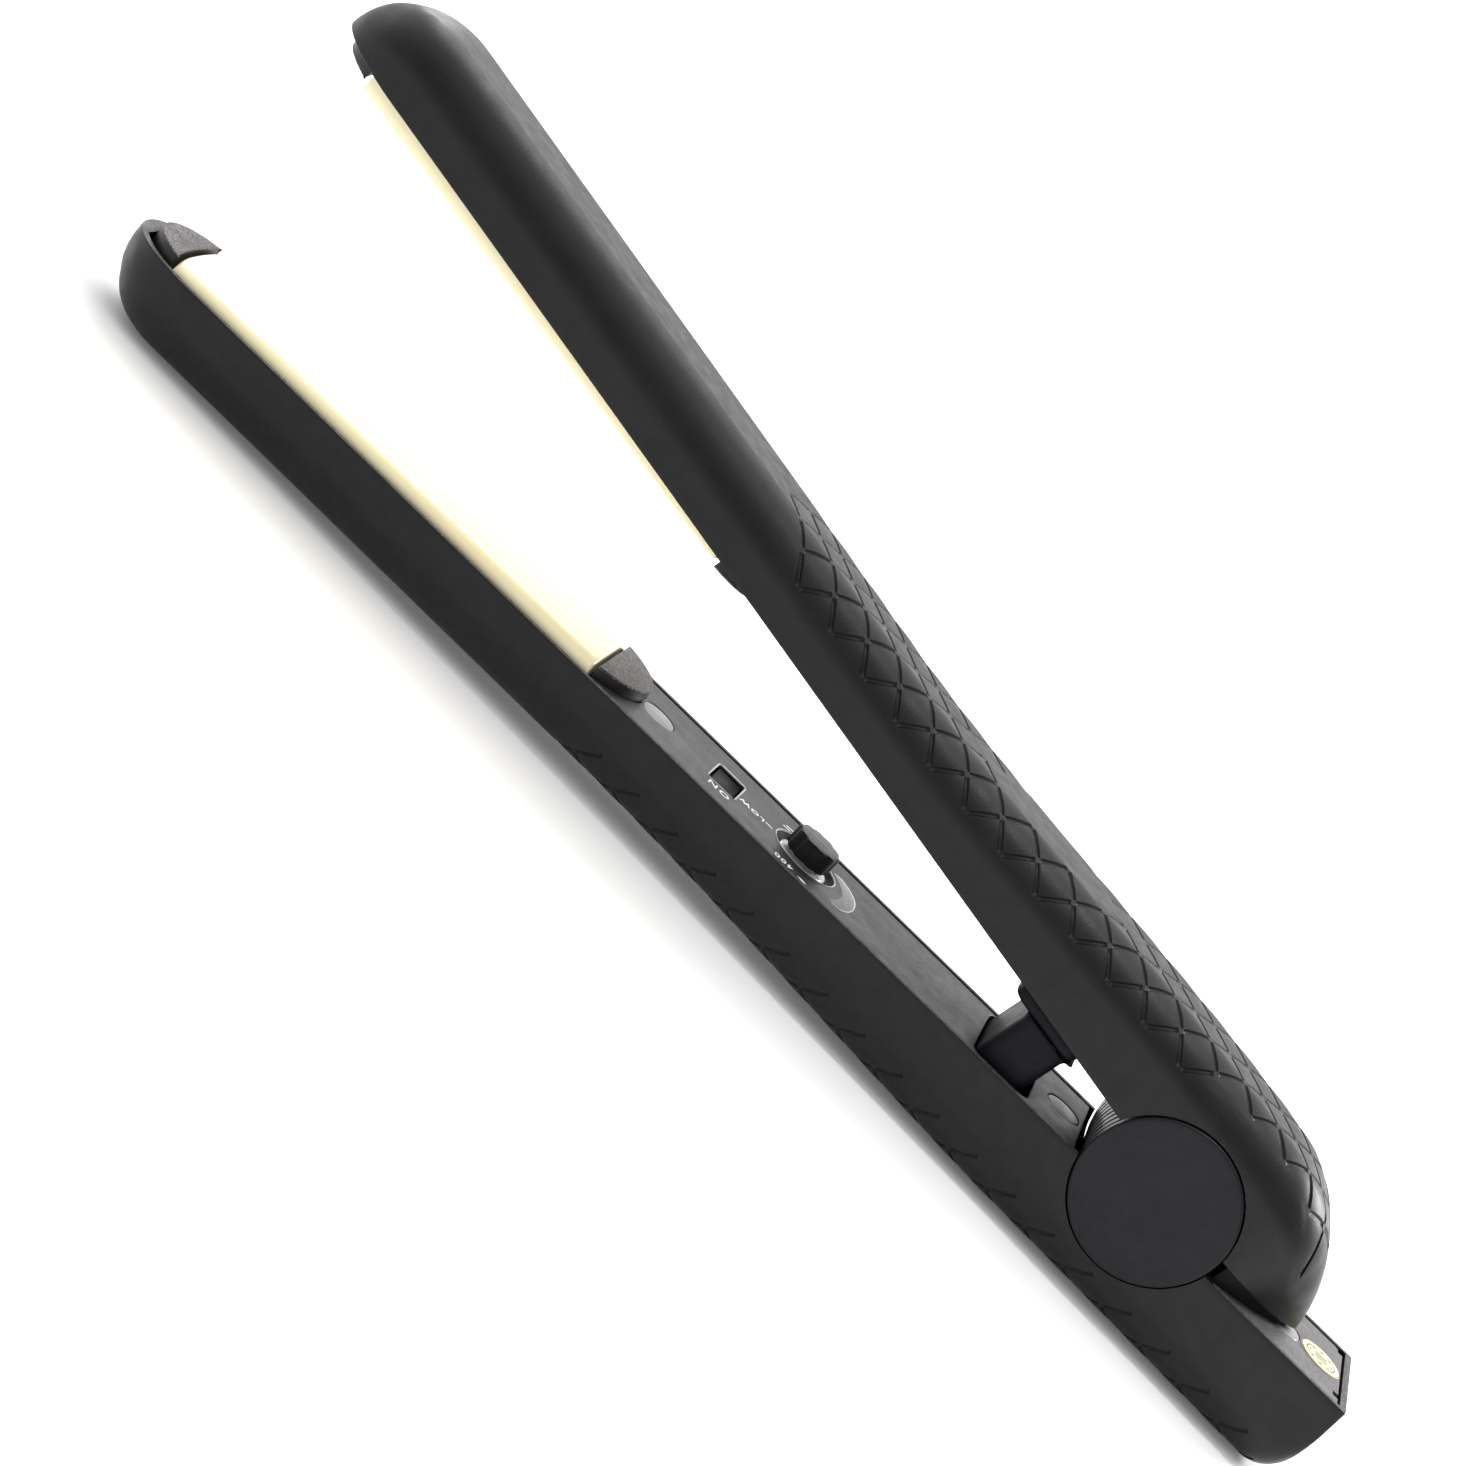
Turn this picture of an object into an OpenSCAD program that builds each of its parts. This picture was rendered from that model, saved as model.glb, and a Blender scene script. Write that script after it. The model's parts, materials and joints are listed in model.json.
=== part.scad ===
// Hinged two-arm hair iron with heated ceramic plates, standing open on its lower arm.
// Each arm is drawn in its own closed frame: origin on the hinge axis, tip towards -X,
// Y across the arm, the lower arm below z = 0 and the upper arm above it.

/* [Arms] */
// Width of both arms
arm_w = 30; // [26:0.5:34]
// Distance from the hinge axis to the end of the nose
nose_x = 243.5; // [200:0.5:280]
// Length of the rounded nose
nose_l = 17.2; // [12:0.2:22]
// Distance from the hinge axis to the tail end
tail_x = 48.3; // [40:0.1:60]
// Radius between the tail end and the underside
tail_r = 6.5; // [3:0.5:9]
// Distance from the hinge axis to the end of the upper heel
heel_x = 34.7; // [28:0.1:38]
// Distance of both shell rims from the hinge axis
rim = 3.4; // [2.8:0.1:4.2]
// Outer depth of both shells along the plates
plate_depth = 17.7; // [15:0.1:20]
// Outer depth of the lower shell at the hinge
belly_depth = 23.1; // [20:0.1:26]
// Outer depth of the upper shell at the hinge
back_depth = 23.8; // [20:0.1:26]
// Thickness of the shells
wall = 1.6; // [1.2:0.1:2.4]
// Outer corner radius of the shells
corner_r = 9; // [5:0.5:11]
// Angle between the arms at rest
open_angle = 10.48; // [4:0.02:14]

/* [Plates] */
// Distance from the hinge axis to the front of the plates
plate_x = 231.9; // [200:0.1:235]
// Length of the plates
plate_l = 99.7; // [80:0.1:110]
// Width of the plates
plate_w = 25.2; // [20:0.2:26]
// Height of the plates over the shell rims
plate_proud = 2.4; // [1.5:0.05:2.8]
// Rounding of the long plate edges
plate_r = 3.4; // [1:0.1:4]
// Tilt of the lower plate, rising to the rear
plate_tilt = 0.3; // [0:0.05:0.6]
// Height of the upper plate over its rims, half way along it
upper_proud = 3.35; // [2:0.05:3.6]
// Tilt of the upper plate; below 0 its tip end stands out further
upper_tilt = -1; // [-1.2:0.05:0.6]
// Height of the end blocks over the shell rims
block_proud = 2.1; // [1:0.05:2.4]

/* [Controls] */
// Position of the power button ahead of the hinge
button_x = 102.2; // [95:0.1:110]
// Length of the power button along the arm
button_l = 5.5; // [4:0.1:8]
// Width of the power button across the arm
button_w = 10; // [6:0.1:12]
// Position of the temperature dial ahead of the hinge
dial_x = 83.1; // [70:0.1:90]
// Diameter of the dial knob
dial_d = 9.4; // [7:0.1:12]
// Height of the dial knob over the cover
dial_h = 4; // [2:0.1:5]
// Diameter of the dial well
well_d = 13.6; // [11:0.1:16]
// Diameter of the screw plugs
plug_d = 7.3; // [5:0.1:9]

/* [Hinge] */
// Diameter of the round hinge caps
cap_d = 30; // [24:0.5:34]
// Height of the hinge caps over the sides of the arms
cap_proud = 0.6; // [0.2:0.1:1.2]
// Groove round the hinge caps
cap_gap = 0.6; // [0.4:0.1:1.5]
// Diameter of the hinge pin
pin_d = 5; // [3:0.1:6]
// Running clearance of the pin in the upper knuckles, on the radius
pin_play = 0.04; // [0.02:0.01:0.08]
// Outer diameter of the hinge ears and knuckles
ear_d = 28.8; // [22:0.2:29]
// Front of the spring post ahead of the hinge
post_x = 38.2; // [34:0.1:42]
// Length of the spring post along the arm
post_l = 10.4; // [8:0.1:12]
// Width of the spring post across the arm
post_w = 24; // [16:0.5:25]
// Lower end of the spring post below the hinge axis
post_drop = 12.5; // [10:0.1:14]
// Diameter of the spring bore in the post
post_bore = 8.6; // [7:0.1:9]

/* [Cord inlet] */
// Diameter of the cord bore
cord_d = 7; // [5:0.1:8]
// Depth of the cord bore below the hinge axis
cord_z = 11.5; // [9:0.1:13]

/* [Hidden] */
$fn = 64;
eps = 0.01;

half_w = arm_w / 2;
nose_x0 = nose_l - nose_x;
tail_x0 = tail_x - tail_r;
// Front end and length of the rise from the plates to the deep end of each shell
lower_rise = [-130, 139];
upper_rise = [-100, 110];
// The lower arm lies on its nose and on its belly, so the rims slope a little
belly_x = 9;
lay = atan((belly_depth - plate_depth) / (belly_x - nose_x0));
pivot_z = belly_depth * cos(lay) - belly_x * sin(lay);
pivot_x = 97.2;
lift = open_angle - lay;

soft_black = [0.05, 0.05, 0.055];
cover_grey = [0.16, 0.16, 0.17];
carrier_black = [0.08, 0.08, 0.085];
ivory = [0.93, 0.87, 0.70];
metal = [0.72, 0.73, 0.75];
dark_metal = [0.35, 0.36, 0.38];
white_ceramic = [0.92, 0.92, 0.90];
silicone = [0.75, 0.30, 0.22];
board_green = [0.10, 0.35, 0.20];
gloss_black = [0.02, 0.02, 0.02];
pale = [0.80, 0.80, 0.76];
lead_white = [0.85, 0.85, 0.84];
sticker_gold = [0.86, 0.82, 0.58];

// ---- frames -------------------------------------------------------------

module on_lower() {
    translate([pivot_x, 0, pivot_z])
        rotate([0, -lay, 0])
            children();
}

module on_upper() {
    translate([pivot_x, 0, pivot_z])
        rotate([0, lift, 0])
            children();
}

// The upper arm repeats the lower plate set, turned over
module on_upper_flipped() {
    on_upper()
        mirror([0, 0, 1])
            children();
}

// ---- lofts --------------------------------------------------------------

function smooth(s) =
    let (t = min(1, max(0, s))) t * t * (3 - 2 * t);
function nose_t(x, k) =
    min(1, max(0, (nose_x0 - x) / (nose_l - k)));
function nose_w(x, k, p = 2) =
    (half_w - k) * pow(1 - pow(nose_t(x, k), p), 1 / p);
function nose_d(x, k, p = 2.3) =
    pow(1 - pow(nose_t(x, k), p), 1 / p);

// Depth of the lower shell: level under the plates, then falling to the belly,
// which lies flat on the table
function lower_run(x) =
    let (table = belly_depth + (x - belly_x) * tan(lay))
    x > belly_x ? table
        : min(table, plate_depth + (belly_depth - plate_depth)
            * smooth((x - lower_rise[0]) / lower_rise[1]));
function tail_drop(x, k) =
    x < tail_x0 ? 0
        : tail_r - k - sqrt(max(0, pow(tail_r - k, 2) - pow(x - tail_x0, 2)));
function lower_d(x, k) =
    rim + (lower_run(x) - k - rim) * nose_d(x, k, 2.7) - tail_drop(x, k);
function lower_w(x, k) = nose_w(x, k, 2.25);

// Depth and half width of the upper shell, with the heel tapering both ways
heel_x0 = 6;
heel_side_x0 = 12;
function heel_t(x, x0, k) =
    min(1, max(0, (x - x0) / (heel_x - k - x0)));
function upper_run(x) =
    plate_depth + (back_depth - plate_depth) * smooth((x - upper_rise[0]) / upper_rise[1]);
function upper_d(x, k) =
    rim + (upper_run(x) - k - rim) * nose_d(x, k)
        * pow(1 - pow(heel_t(x, heel_x0, k), 2.4), 0.77);
function upper_w(x, k) =
    nose_w(x, k) * pow(1 - pow(heel_t(x, heel_side_x0, k), 1.9), 0.85);

// One ring of a shell: straight sides down from the top, rounded lower corners
function ring(x, w, d, r, top) =
    let (q = min(r, min(w * 0.96, (d - rim) * 0.92)))
    concat(
        [[x, -w, -top]],
        [for (a = [180 : 15 : 270]) [x, -w + q + q * cos(a), -d + q + q * sin(a)]],
        [for (a = [270 : 15 : 360]) [x, w - q + q * cos(a), -d + q + q * sin(a)]],
        [[x, w, -top]]);

function nose_stations(k) =
    [for (a = [80, 70, 60, 49, 37, 25, 12, 0]) nose_x0 - (nose_l - k) * sin(a)];
function lower_stations(k) = concat(
    nose_stations(k),
    [for (x = [-130 : 10.5 : 0]) x],
    [belly_x, tail_x0],
    [for (a = [22, 44, 62, 78]) tail_x0 + (tail_r - k) * sin(a)],
    [tail_x - k]);
function upper_stations(k) = concat(
    nose_stations(k),
    [for (x = [-100 : 11 : 0]) x],
    [for (s = [0 : 0.1 : 0.9]) heel_x0 + (heel_x - k - heel_x0) * s],
    [for (s = [0.95, 0.985]) heel_x0 + (heel_x - k - heel_x0) * s]);

module skin(rings) {
    n = len(rings[0]);
    m = len(rings);
    polyhedron(
        points = [for (r = rings) for (p = r) p],
        faces = concat(
            [[for (j = [0 : n - 1]) j]],
            [for (i = [0 : m - 2]) for (j = [0 : n - 1])
                [i * n + j, (i + 1) * n + j, (i + 1) * n + (j + 1) % n]],
            [for (i = [0 : m - 2]) for (j = [0 : n - 1])
                [i * n + j, (i + 1) * n + (j + 1) % n, i * n + (j + 1) % n]],
            [[for (j = [n - 1 : -1 : 0]) (m - 1) * n + j]]));
}

module lower_skin(k, top) {
    skin([for (x = lower_stations(k)) ring(x, lower_w(x, k), lower_d(x, k), corner_r - k, top)]);
}

module upper_skin(k, top) {
    mirror([0, 0, 1])
        skin([for (x = upper_stations(k))
            ring(x, upper_w(x, k), upper_d(x, k), corner_r - k, top)]);
}

// A round wire of radius r through a list of points, each ring facing along X
module wire(path, r) {
    skin([for (p = path) [for (a = [0 : 45 : 315]) p + [0, r * cos(a), r * sin(a)]]]);
}

// Cylinder across the arm, centred on the hinge axis
module across(r, y0, y1) {
    translate([0, y1, 0])
        rotate([90, 0, 0])
            cylinder(r = r, h = y1 - y0);
}

module block(x0, x1, w, z0, z1) {
    translate([x0, -w / 2, z0])
        cube([x1 - x0, w, z1 - z0]);
}

// ---- shells -------------------------------------------------------------

cut_r = cap_d / 2 + cap_gap;
plug_front = -118.8;
plug_middle = -20.4;
plug_rear = 33;
boss_r = 3.4;
screw_r = 1.3;
head_r = 2.7;
cover_t = 1.6;
cover_top = -rim - 0.15;
cover_under = cover_top - cover_t;
screw_top = cover_under - 0.1;
head_h = 1.6;
boss_top = screw_top - head_h;
inlet_r = 5;

module boss(x, depth) {
    translate([x, 0, -depth])
        difference() {
            cylinder(r = boss_r, h = depth + boss_top);
            translate([0, 0, 1])
                cylinder(r = screw_r + 0.05, h = depth);
        }
}

module lower_housing() {
    color(soft_black)
        on_lower()
            union() {
                difference() {
                    lower_skin(0, rim);
                    lower_skin(wall, rim - 2);
                    across(cut_r, -arm_w, arm_w);
                    translate([tail_x - 4, 0, -cord_z])
                        rotate([0, 90, 0])
                            cylinder(r = inlet_r + 0.05, h = 8);
                }
                boss(plug_front, lower_run(plug_front) - wall / 2);
                boss(plug_middle, lower_run(plug_middle) - wall / 2);
            }
}

module upper_housing() {
    color(soft_black)
        on_upper()
            difference() {
                upper_skin(0, rim);
                upper_skin(wall, rim - 2);
                across(cut_r, -arm_w, arm_w);
            }
}

// ---- inner covers -------------------------------------------------------

cover_w = 26.4;
cover_x0 = -131.2;
cover_x1 = -15.9;
rear_block_r = 12.6;
rear_block_x = -135.1;
slot_x0 = -40.1;
slot_x1 = -27.4;
slot_w = 24.8;

module lower_inner_cover() {
    color(cover_grey)
        on_lower()
            difference() {
                block(cover_x0, cover_x1, cover_w, cover_under, cover_top);
                translate([rear_block_x, 0, -20])
                    cylinder(r = rear_block_r + 0.1, h = 30);
                for (x = [plug_front, plug_middle])
                    translate([x, 0, -20])
                        cylinder(d = plug_d + 0.1, h = 30);
                translate([-dial_x, 0, -20])
                    cylinder(d = well_d, h = 30);
                block(-button_x - button_l / 2 - 0.3, -button_x + button_l / 2 + 0.3,
                      button_w + 0.6, -20, 5);
                block(slot_x0, slot_x1, slot_w, -20, 5);
            }
}

module tail_cover() {
    color(cover_grey)
        on_lower()
            difference() {
                block(15.9, 46.4, cover_w, cover_under, cover_top);
                translate([plug_rear, 0, -20])
                    cylinder(d = plug_d + 0.1, h = 30);
                for (y = [-9.7, 12.6])
                    translate([45.2, y - 0.9, -20])
                        cube([3, 1.8, 30]);
            }
}

module upper_inner_cover() {
    color(cover_grey)
        on_upper_flipped()
            difference() {
                block(cover_x0, cover_x1, cover_w, cover_under, cover_top);
                translate([rear_block_x, 0, -20])
                    cylinder(r = rear_block_r + 0.1, h = 30);
                for (x = [plug_front, plug_middle])
                    translate([x, 0, -20])
                        cylinder(r = head_r + 0.1, h = 30);
                for (y = [-8, 8])
                    translate([post_mid, y, -20])
                        cylinder(r = screw_r + 0.1, h = 30);
            }
}

// ---- plates and their carriers ------------------------------------------

plate_top = plate_proud - rim;
plate_skirt = -5.6;
plate_mid = plate_l / 2 - plate_x;
front_block_r = 12.9;
front_block_x = -228.1;
block_top = block_proud - rim;

module carrier() {
    color(carrier_black)
        union() {
            difference() {
                translate([-227, 0, 0])
                    rotate([90, 0, 90])
                        linear_extrude(height = 104)
                            polygon([
                                [13.2, -6.9], [13.2, -10], [9.5, -15], [-9.5, -15],
                                [-13.2, -10], [-13.2, -6.9], [-11.2, -6.9], [-11.2, -9.6],
                                [-8.8, -13.4], [8.8, -13.4], [11.2, -9.6], [11.2, -6.9]]);
                // The lead slot in the floor at the rear
                block(-128, -122, 8, -16, -12);
            }
            // The front crescent with its narrower foot, the tongue under the plate
            // and the end wall
            difference() {
                union() {
                    translate([front_block_x, 0, -6])
                        cylinder(r = front_block_r, h = block_top + 6);
                    translate([front_block_x, 0, -9.5])
                        cylinder(r = 9.5, h = 4);
                }
                block(-232.3, -200, 40, -20, 5);
            }
            block(-233, -226.5, 16, -9.5, -7.2);
            block(-228.5, -226.5, 17.6, -14.9, -7.2);
            // The rounded rear block
            difference() {
                translate([rear_block_x, 0, -13.5])
                    cylinder(r = rear_block_r, h = block_top + 13.5);
                block(-160, -131.5, 40, -20, 5);
                block(-131.6, -121, 8, -14, -7);
                // The skirt stays inside the channel below the cover
                difference() {
                    block(-132, -120, 40, -14, -6.9);
                    block(-133, -119, 21, -15, -6);
                }
            }
        }
}

// The place of a plate set in its arm; up is true for the upper arm
module plate_tilted(up) {
    translate([plate_mid, 0, up ? upper_proud - rim : plate_top])
        rotate([0, up ? -upper_tilt : -plate_tilt, 0])
            translate([0, 0, -plate_top])
                children();
}

// The long top edges are rounded, and the underside is flat
module plate_section(skirt) {
    intersection() {
        translate([-plate_w / 2, skirt])
            square([plate_w, plate_top - skirt]);
        union() {
            translate([-plate_w / 2, skirt - 1])
                square([plate_w, plate_top - plate_r - skirt + 1]);
            translate([-plate_w / 2 + plate_r, skirt - 1])
                square([plate_w - 2 * plate_r, plate_top - skirt + 1]);
            for (s = [-1, 1])
                translate([s * (plate_w / 2 - plate_r), plate_top - plate_r])
                    circle(r = plate_r);
        }
    }
}

module plate(up = false) {
    skirt = up ? plate_skirt - 0.4 : plate_skirt;
    color(ivory)
        plate_tilted(up)
            difference() {
                union() {
                    translate([-plate_l / 2, 0, 0])
                        rotate([90, 0, 90])
                            linear_extrude(height = plate_l)
                                plate_section(skirt);
                    // The rib the heater lies against
                    block(-43.5, 46, 16, -8.2, skirt);
                }
                // The front corners are cut back to clear the nose of the shell
                for (s = [-1, 1])
                    translate([-plate_l / 2, s * plate_w / 2, 0])
                        rotate([0, 0, 45])
                            cube([2, 2, 20], center = true);
            }
}

module heater(up = false) {
    color(white_ceramic)
        plate_tilted(up)
            block(-38, 38, 11, -10.8, -8.2);
}

module heater_clip(up = false) {
    color(metal)
        plate_tilted(up)
            difference() {
                block(-40, 40, 15, -11.6, -8.2);
                block(-38.05, 38.05, 11.1, -10.85, -8);
                block(-41, -30, 6, -12, -10.8);
                block(30, 41, 6, -12, -10.8);
            }
}

module float_pads(up = false) {
    color(silicone)
        plate_tilted(up)
            for (x = [-26, 0, 26])
                translate([x, 0, -12.1])
                    cylinder(d = 7, h = 0.5);
}

module thermistor() {
    color(white_ceramic)
        plate_tilted(false)
            translate([40, 0, -9.6])
                rotate([0, 90, 0])
                    cylinder(d = 2.2, h = 6);
}

module thermal_fuse() {
    color(dark_metal)
        plate_tilted(true)
            translate([40, 0, -9.8])
                rotate([0, 90, 0])
                    cylinder(d = 3, h = 8);
}

// Two leads from the heater past the front boss towards the controls
module heater_leads(x1) {
    color(lead_white)
        for (s = [-1, 1])
            wire([
                [-135.6, s * 2.4, -9.5], [-131, s * 2.4, -9.6], [-127, s * 2.4, -10],
                [-123, s * 3.2, -10.2], [-120.5, s * 4.4, -10.2], [-116.5, s * 4.4, -10.2],
                [x1, s * 3.8, -10.2]], 0.7);
}

module lower_plate_carrier() {
    on_lower() carrier();
}

module upper_plate_carrier() {
    on_upper_flipped() carrier();
}

module lower_plate() {
    on_lower() plate();
}

module upper_plate() {
    on_upper_flipped() plate(true);
}

module lower_heater() {
    on_lower() heater();
}

module upper_heater() {
    on_upper_flipped() heater(true);
}

module lower_heater_clip() {
    on_lower() heater_clip();
}

module upper_heater_clip() {
    on_upper_flipped() heater_clip(true);
}

module lower_float_pads() {
    on_lower() float_pads();
}

module upper_float_pads() {
    on_upper_flipped() float_pads(true);
}

module lower_thermistor() {
    on_lower() thermistor();
}

module upper_thermal_fuse() {
    on_upper_flipped() thermal_fuse();
}

module lower_heater_leads() {
    on_lower() heater_leads(-113.2);
}

module upper_heater_leads() {
    on_upper_flipped() heater_leads(-104);
}

// ---- controls -----------------------------------------------------------

board_x0 = -113;
board_x1 = -58;
board_w = 21;
board_top = -11.2;
board_t = 1.6;
pot_top = -7.4;
rotor_r = 2.95;
switch_top = -7.4;
button_top = cover_top - 0.5;
button_dish_r = 9.8;

module control_board() {
    color(board_green)
        on_lower()
            difference() {
                block(board_x0, board_x1, board_w, board_top - board_t, board_top);
                for (x = [board_x0 + 4, board_x1 - 4])
                    translate([x, 8, -20])
                        cylinder(d = 2.4, h = 20);
            }
}

module board_components() {
    color(dark_metal)
        on_lower() {
            block(-75, -71, 14, board_top, board_top + 3.2);
            translate([-66, 5.5, board_top])
                cylinder(d = 6.5, h = 5);
            translate([-66, -4.5, board_top])
                cylinder(d = 5, h = 4);
            block(-94.5, -91, 9, board_top, board_top + 2.4);
        }
}

module temperature_pot() {
    color(dark_metal)
        on_lower()
            difference() {
                block(-dial_x - 5, -dial_x + 5, 10, board_top, pot_top);
                translate([-dial_x, 0, board_top + 0.8])
                    cylinder(r = rotor_r + 0.05, h = 10);
            }
}

module dial_rotor() {
    color(lead_white)
        on_lower()
            translate([-dial_x, 0, board_top + 1])
                difference() {
                    cylinder(r = rotor_r, h = cover_top + 0.6 - board_top);
                    translate([0, -0.4, cover_top - board_top - 3])
                        translate([-rotor_r, 0, 0])
                            cube([2 * rotor_r, 0.8, 6]);
                }
}

module temperature_dial() {
    color(gloss_black)
        on_lower()
            translate([-dial_x, 0, 0])
                difference() {
                    union() {
                        translate([0, 0, cover_top + 0.2])
                            cylinder(d = dial_d, h = dial_h - 0.5);
                        translate([0, 0, cover_top + dial_h - 0.3])
                            cylinder(d1 = dial_d, d2 = dial_d - 0.6, h = 0.3);
                    }
                    translate([0, 0, cover_top - 1])
                        cylinder(r = rotor_r + 0.01, h = 2.6);
                    for (a = [0 : 30 : 330])
                        rotate([0, 0, a])
                            translate([dial_d / 2 + 0.65, 0, cover_top - 1])
                                cylinder(d = 2, h = dial_h + 3);
                }
}

module dial_light_ring() {
    color(pale)
        on_lower()
            translate([-dial_x, 0, cover_under])
                difference() {
                    cylinder(d = well_d - 0.1, h = cover_t - 0.5);
                    translate([0, 0, -1])
                        cylinder(r = rotor_r + 0.5, h = 5);
                }
}

module power_button() {
    color(gloss_black)
        on_lower()
            difference() {
                union() {
                    block(-button_x - button_l / 2, -button_x + button_l / 2, button_w,
                          cover_under - 0.9, button_top);
                    block(-button_x - button_l / 2 - 1, -button_x + button_l / 2 + 1,
                          button_w + 1.6, cover_under - 0.9, cover_under - 0.1);
                    block(-button_x - 1.5, -button_x + 1.5, 3, -8.3, cover_under - 0.5);
                }
                // The finger dish
                translate([-button_x - button_l, 0, button_top - 1.2 + button_dish_r])
                    rotate([0, 90, 0])
                        cylinder(r = button_dish_r, h = 2 * button_l);
            }
}

module power_switch() {
    color(dark_metal)
        on_lower()
            difference() {
                block(-button_x - 4, -button_x + 4, 12, board_top, switch_top);
                block(-button_x - 1.9, -button_x + 1.9, 3.8, board_top + 1, switch_top + 1);
            }
}

module screw_plug(x) {
    color(dark_metal)
        on_lower()
            translate([x, 0, cover_under + 0.1])
                cylinder(d = plug_d, h = cover_t - 0.1);
}

module front_screw_plug() {
    screw_plug(plug_front);
}

module middle_screw_plug() {
    screw_plug(plug_middle);
}

module rear_screw_plug() {
    screw_plug(plug_rear);
}

module case_screw(x, l) {
    translate([x, 0, boss_top])
        difference() {
            cylinder(r = head_r, h = head_h);
            for (a = [0, 90])
                rotate([0, 0, a])
                    translate([-1.6, -0.3, head_h - 0.8])
                        cube([3.2, 0.6, 2]);
        }
    translate([x, 0, boss_top - l])
        cylinder(r = screw_r, h = l + eps);
}

module lower_case_screws() {
    color(metal)
        on_lower() {
            case_screw(plug_front, 7);
            case_screw(plug_middle, 9);
        }
}

module upper_case_screws() {
    color(metal)
        on_upper_flipped() {
            translate([0, 0, cover_t])
                case_screw(plug_front, 8);
            translate([0, 0, cover_t])
                case_screw(plug_middle, 3.5);
        }
}

sticker_d = 9;
sticker_x = 41.8;

module inspection_sticker() {
    color(sticker_gold)
        on_lower()
            translate([sticker_x, 0, cover_top])
                cylinder(d = sticker_d, h = 0.15);
}

// ---- cord inlet and leads -----------------------------------------------

module cord_gland() {
    color(carrier_black)
        on_lower()
            translate([0, 0, -cord_z])
                rotate([0, 90, 0])
                    difference() {
                        union() {
                            translate([0, 0, tail_x - wall - 2.6])
                                cylinder(r = 5.9, h = 2.5);
                            translate([0, 0, tail_x - wall - 0.5])
                                cylinder(r = inlet_r, h = wall + 0.4);
                        }
                        cylinder(d = cord_d, h = 60);
                    }
}

module cord_clamp() {
    color(metal)
        on_lower()
            difference() {
                block(37.8, 42.8, 19, -cord_z - 1, -6.4);
                translate([30, 0, -cord_z])
                    rotate([0, 90, 0])
                        cylinder(d = cord_d + 0.4, h = 20);
                for (y = [-7.2, 7.2])
                    translate([40.3, y, -20])
                        cylinder(d = 2, h = 20);
            }
}

// Two leads from the cord clamp along the floor to the control board
module power_leads() {
    color(lead_white)
        on_lower()
            for (s = [-1, 1])
                wire([
                    [42, s * 1.6, -cord_z - 0.6], [36, s * 2.6, -14], [28, s * 5, -18.4],
                    [18, s * 5.6, -20], [14, s * 5.6, -20.1], [-14, s * 5.6, -19.6],
                    [-24, s * 7.6, -18.6], [-44, s * 7.6, -17.2], [-52, s * 5, -15],
                    [-57.9, s * 4, -12]], 0.8);
}

// ---- hinge --------------------------------------------------------------

ear_r = ear_d / 2;
ear_in = 8.6;
ear_out = 13.2;
knuckle_in = 3;
knuckle_out = 8.3;
washer_r = 14;
bracket_l = 18;

module lower_hinge_bracket() {
    color(carrier_black)
        on_lower()
            difference() {
                union() {
                    for (s = [0, 1])
                        mirror([0, s, 0]) {
                            across(ear_r, ear_in, ear_out);
                            translate([-bracket_l / 2, ear_in, -15.5])
                                cube([bracket_l, ear_out - ear_in - 0.6, 9]);
                        }
                    // The foot on the shell floor, with sloped flanks
                    translate([-bracket_l / 2, 0, 0])
                        rotate([90, 0, 90])
                            linear_extrude(height = bracket_l)
                                polygon([
                                    [12.6, -15.1], [12, -16.6], [8.6, -19.2], [-8.6, -19.2],
                                    [-12, -16.6], [-12.6, -15.1]]);
                }
                across(pin_d / 2 + 0.01, -20, 20);
                // The way for the leads under the hinge
                for (s = [-1, 1])
                    translate([-20, s * 5.6 - 1.3, -25])
                        cube([40, 2.6, 7.2]);
            }
}

module upper_hinge_bracket() {
    color(carrier_black)
        on_upper()
            difference() {
                union() {
                    for (s = [0, 1])
                        mirror([0, s, 0]) {
                            across(ear_r, knuckle_in, knuckle_out);
                            translate([-bracket_l / 2, knuckle_in, 6])
                                cube([bracket_l, knuckle_out - knuckle_in, 10]);
                        }
                    block(-bracket_l / 2, bracket_l / 2, 2 * knuckle_out, 15.2, 20.6);
                }
                across(pin_d / 2 + pin_play, -20, 20);
            }
}

module hinge_pin() {
    color(metal)
        on_lower()
            across(pin_d / 2, -13.4, 13.4);
}

module hinge_cap() {
    color(soft_black)
        on_lower()
            union() {
                across(cap_d / 2, 13.5, half_w + cap_proud - 0.5);
                translate([0, half_w + cap_proud - 0.5, 0])
                    rotate([-90, 0, 0])
                        cylinder(r1 = cap_d / 2, r2 = cap_d / 2 - 0.5, h = 0.5);
            }
}

module near_hinge_cap() {
    mirror([0, 1, 0])
        hinge_cap();
}

module far_hinge_cap() {
    hinge_cap();
}

module hinge_washers() {
    color(metal)
        on_lower()
            for (s = [0, 1])
                mirror([0, s, 0])
                    difference() {
                        across(washer_r, knuckle_out + 0.05, ear_in - 0.05);
                        across(pin_d / 2 + 0.05, 0, 20);
                    }
}

module pivot_spacer() {
    color(dark_metal)
        on_lower()
            difference() {
                across(6, -knuckle_in + 0.1, knuckle_in - 0.1);
                across(pin_d / 2 + 0.02, -20, 20);
            }
}

// ---- opening spring and post --------------------------------------------

post_mid = post_l / 2 - post_x;
post_top = cover_top;
flange_x0 = -43;
flange_x1 = -27;
flange_w = 25;
flange_r = 3;
flange_t = 2.9;
seat_x = -35.2;
seat_z = -18;
spring_r = 2.9;
spring_wire = 0.9;
spring_h = 21.2;
spring_lean = 2.4;
spring_turns = 7;

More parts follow.
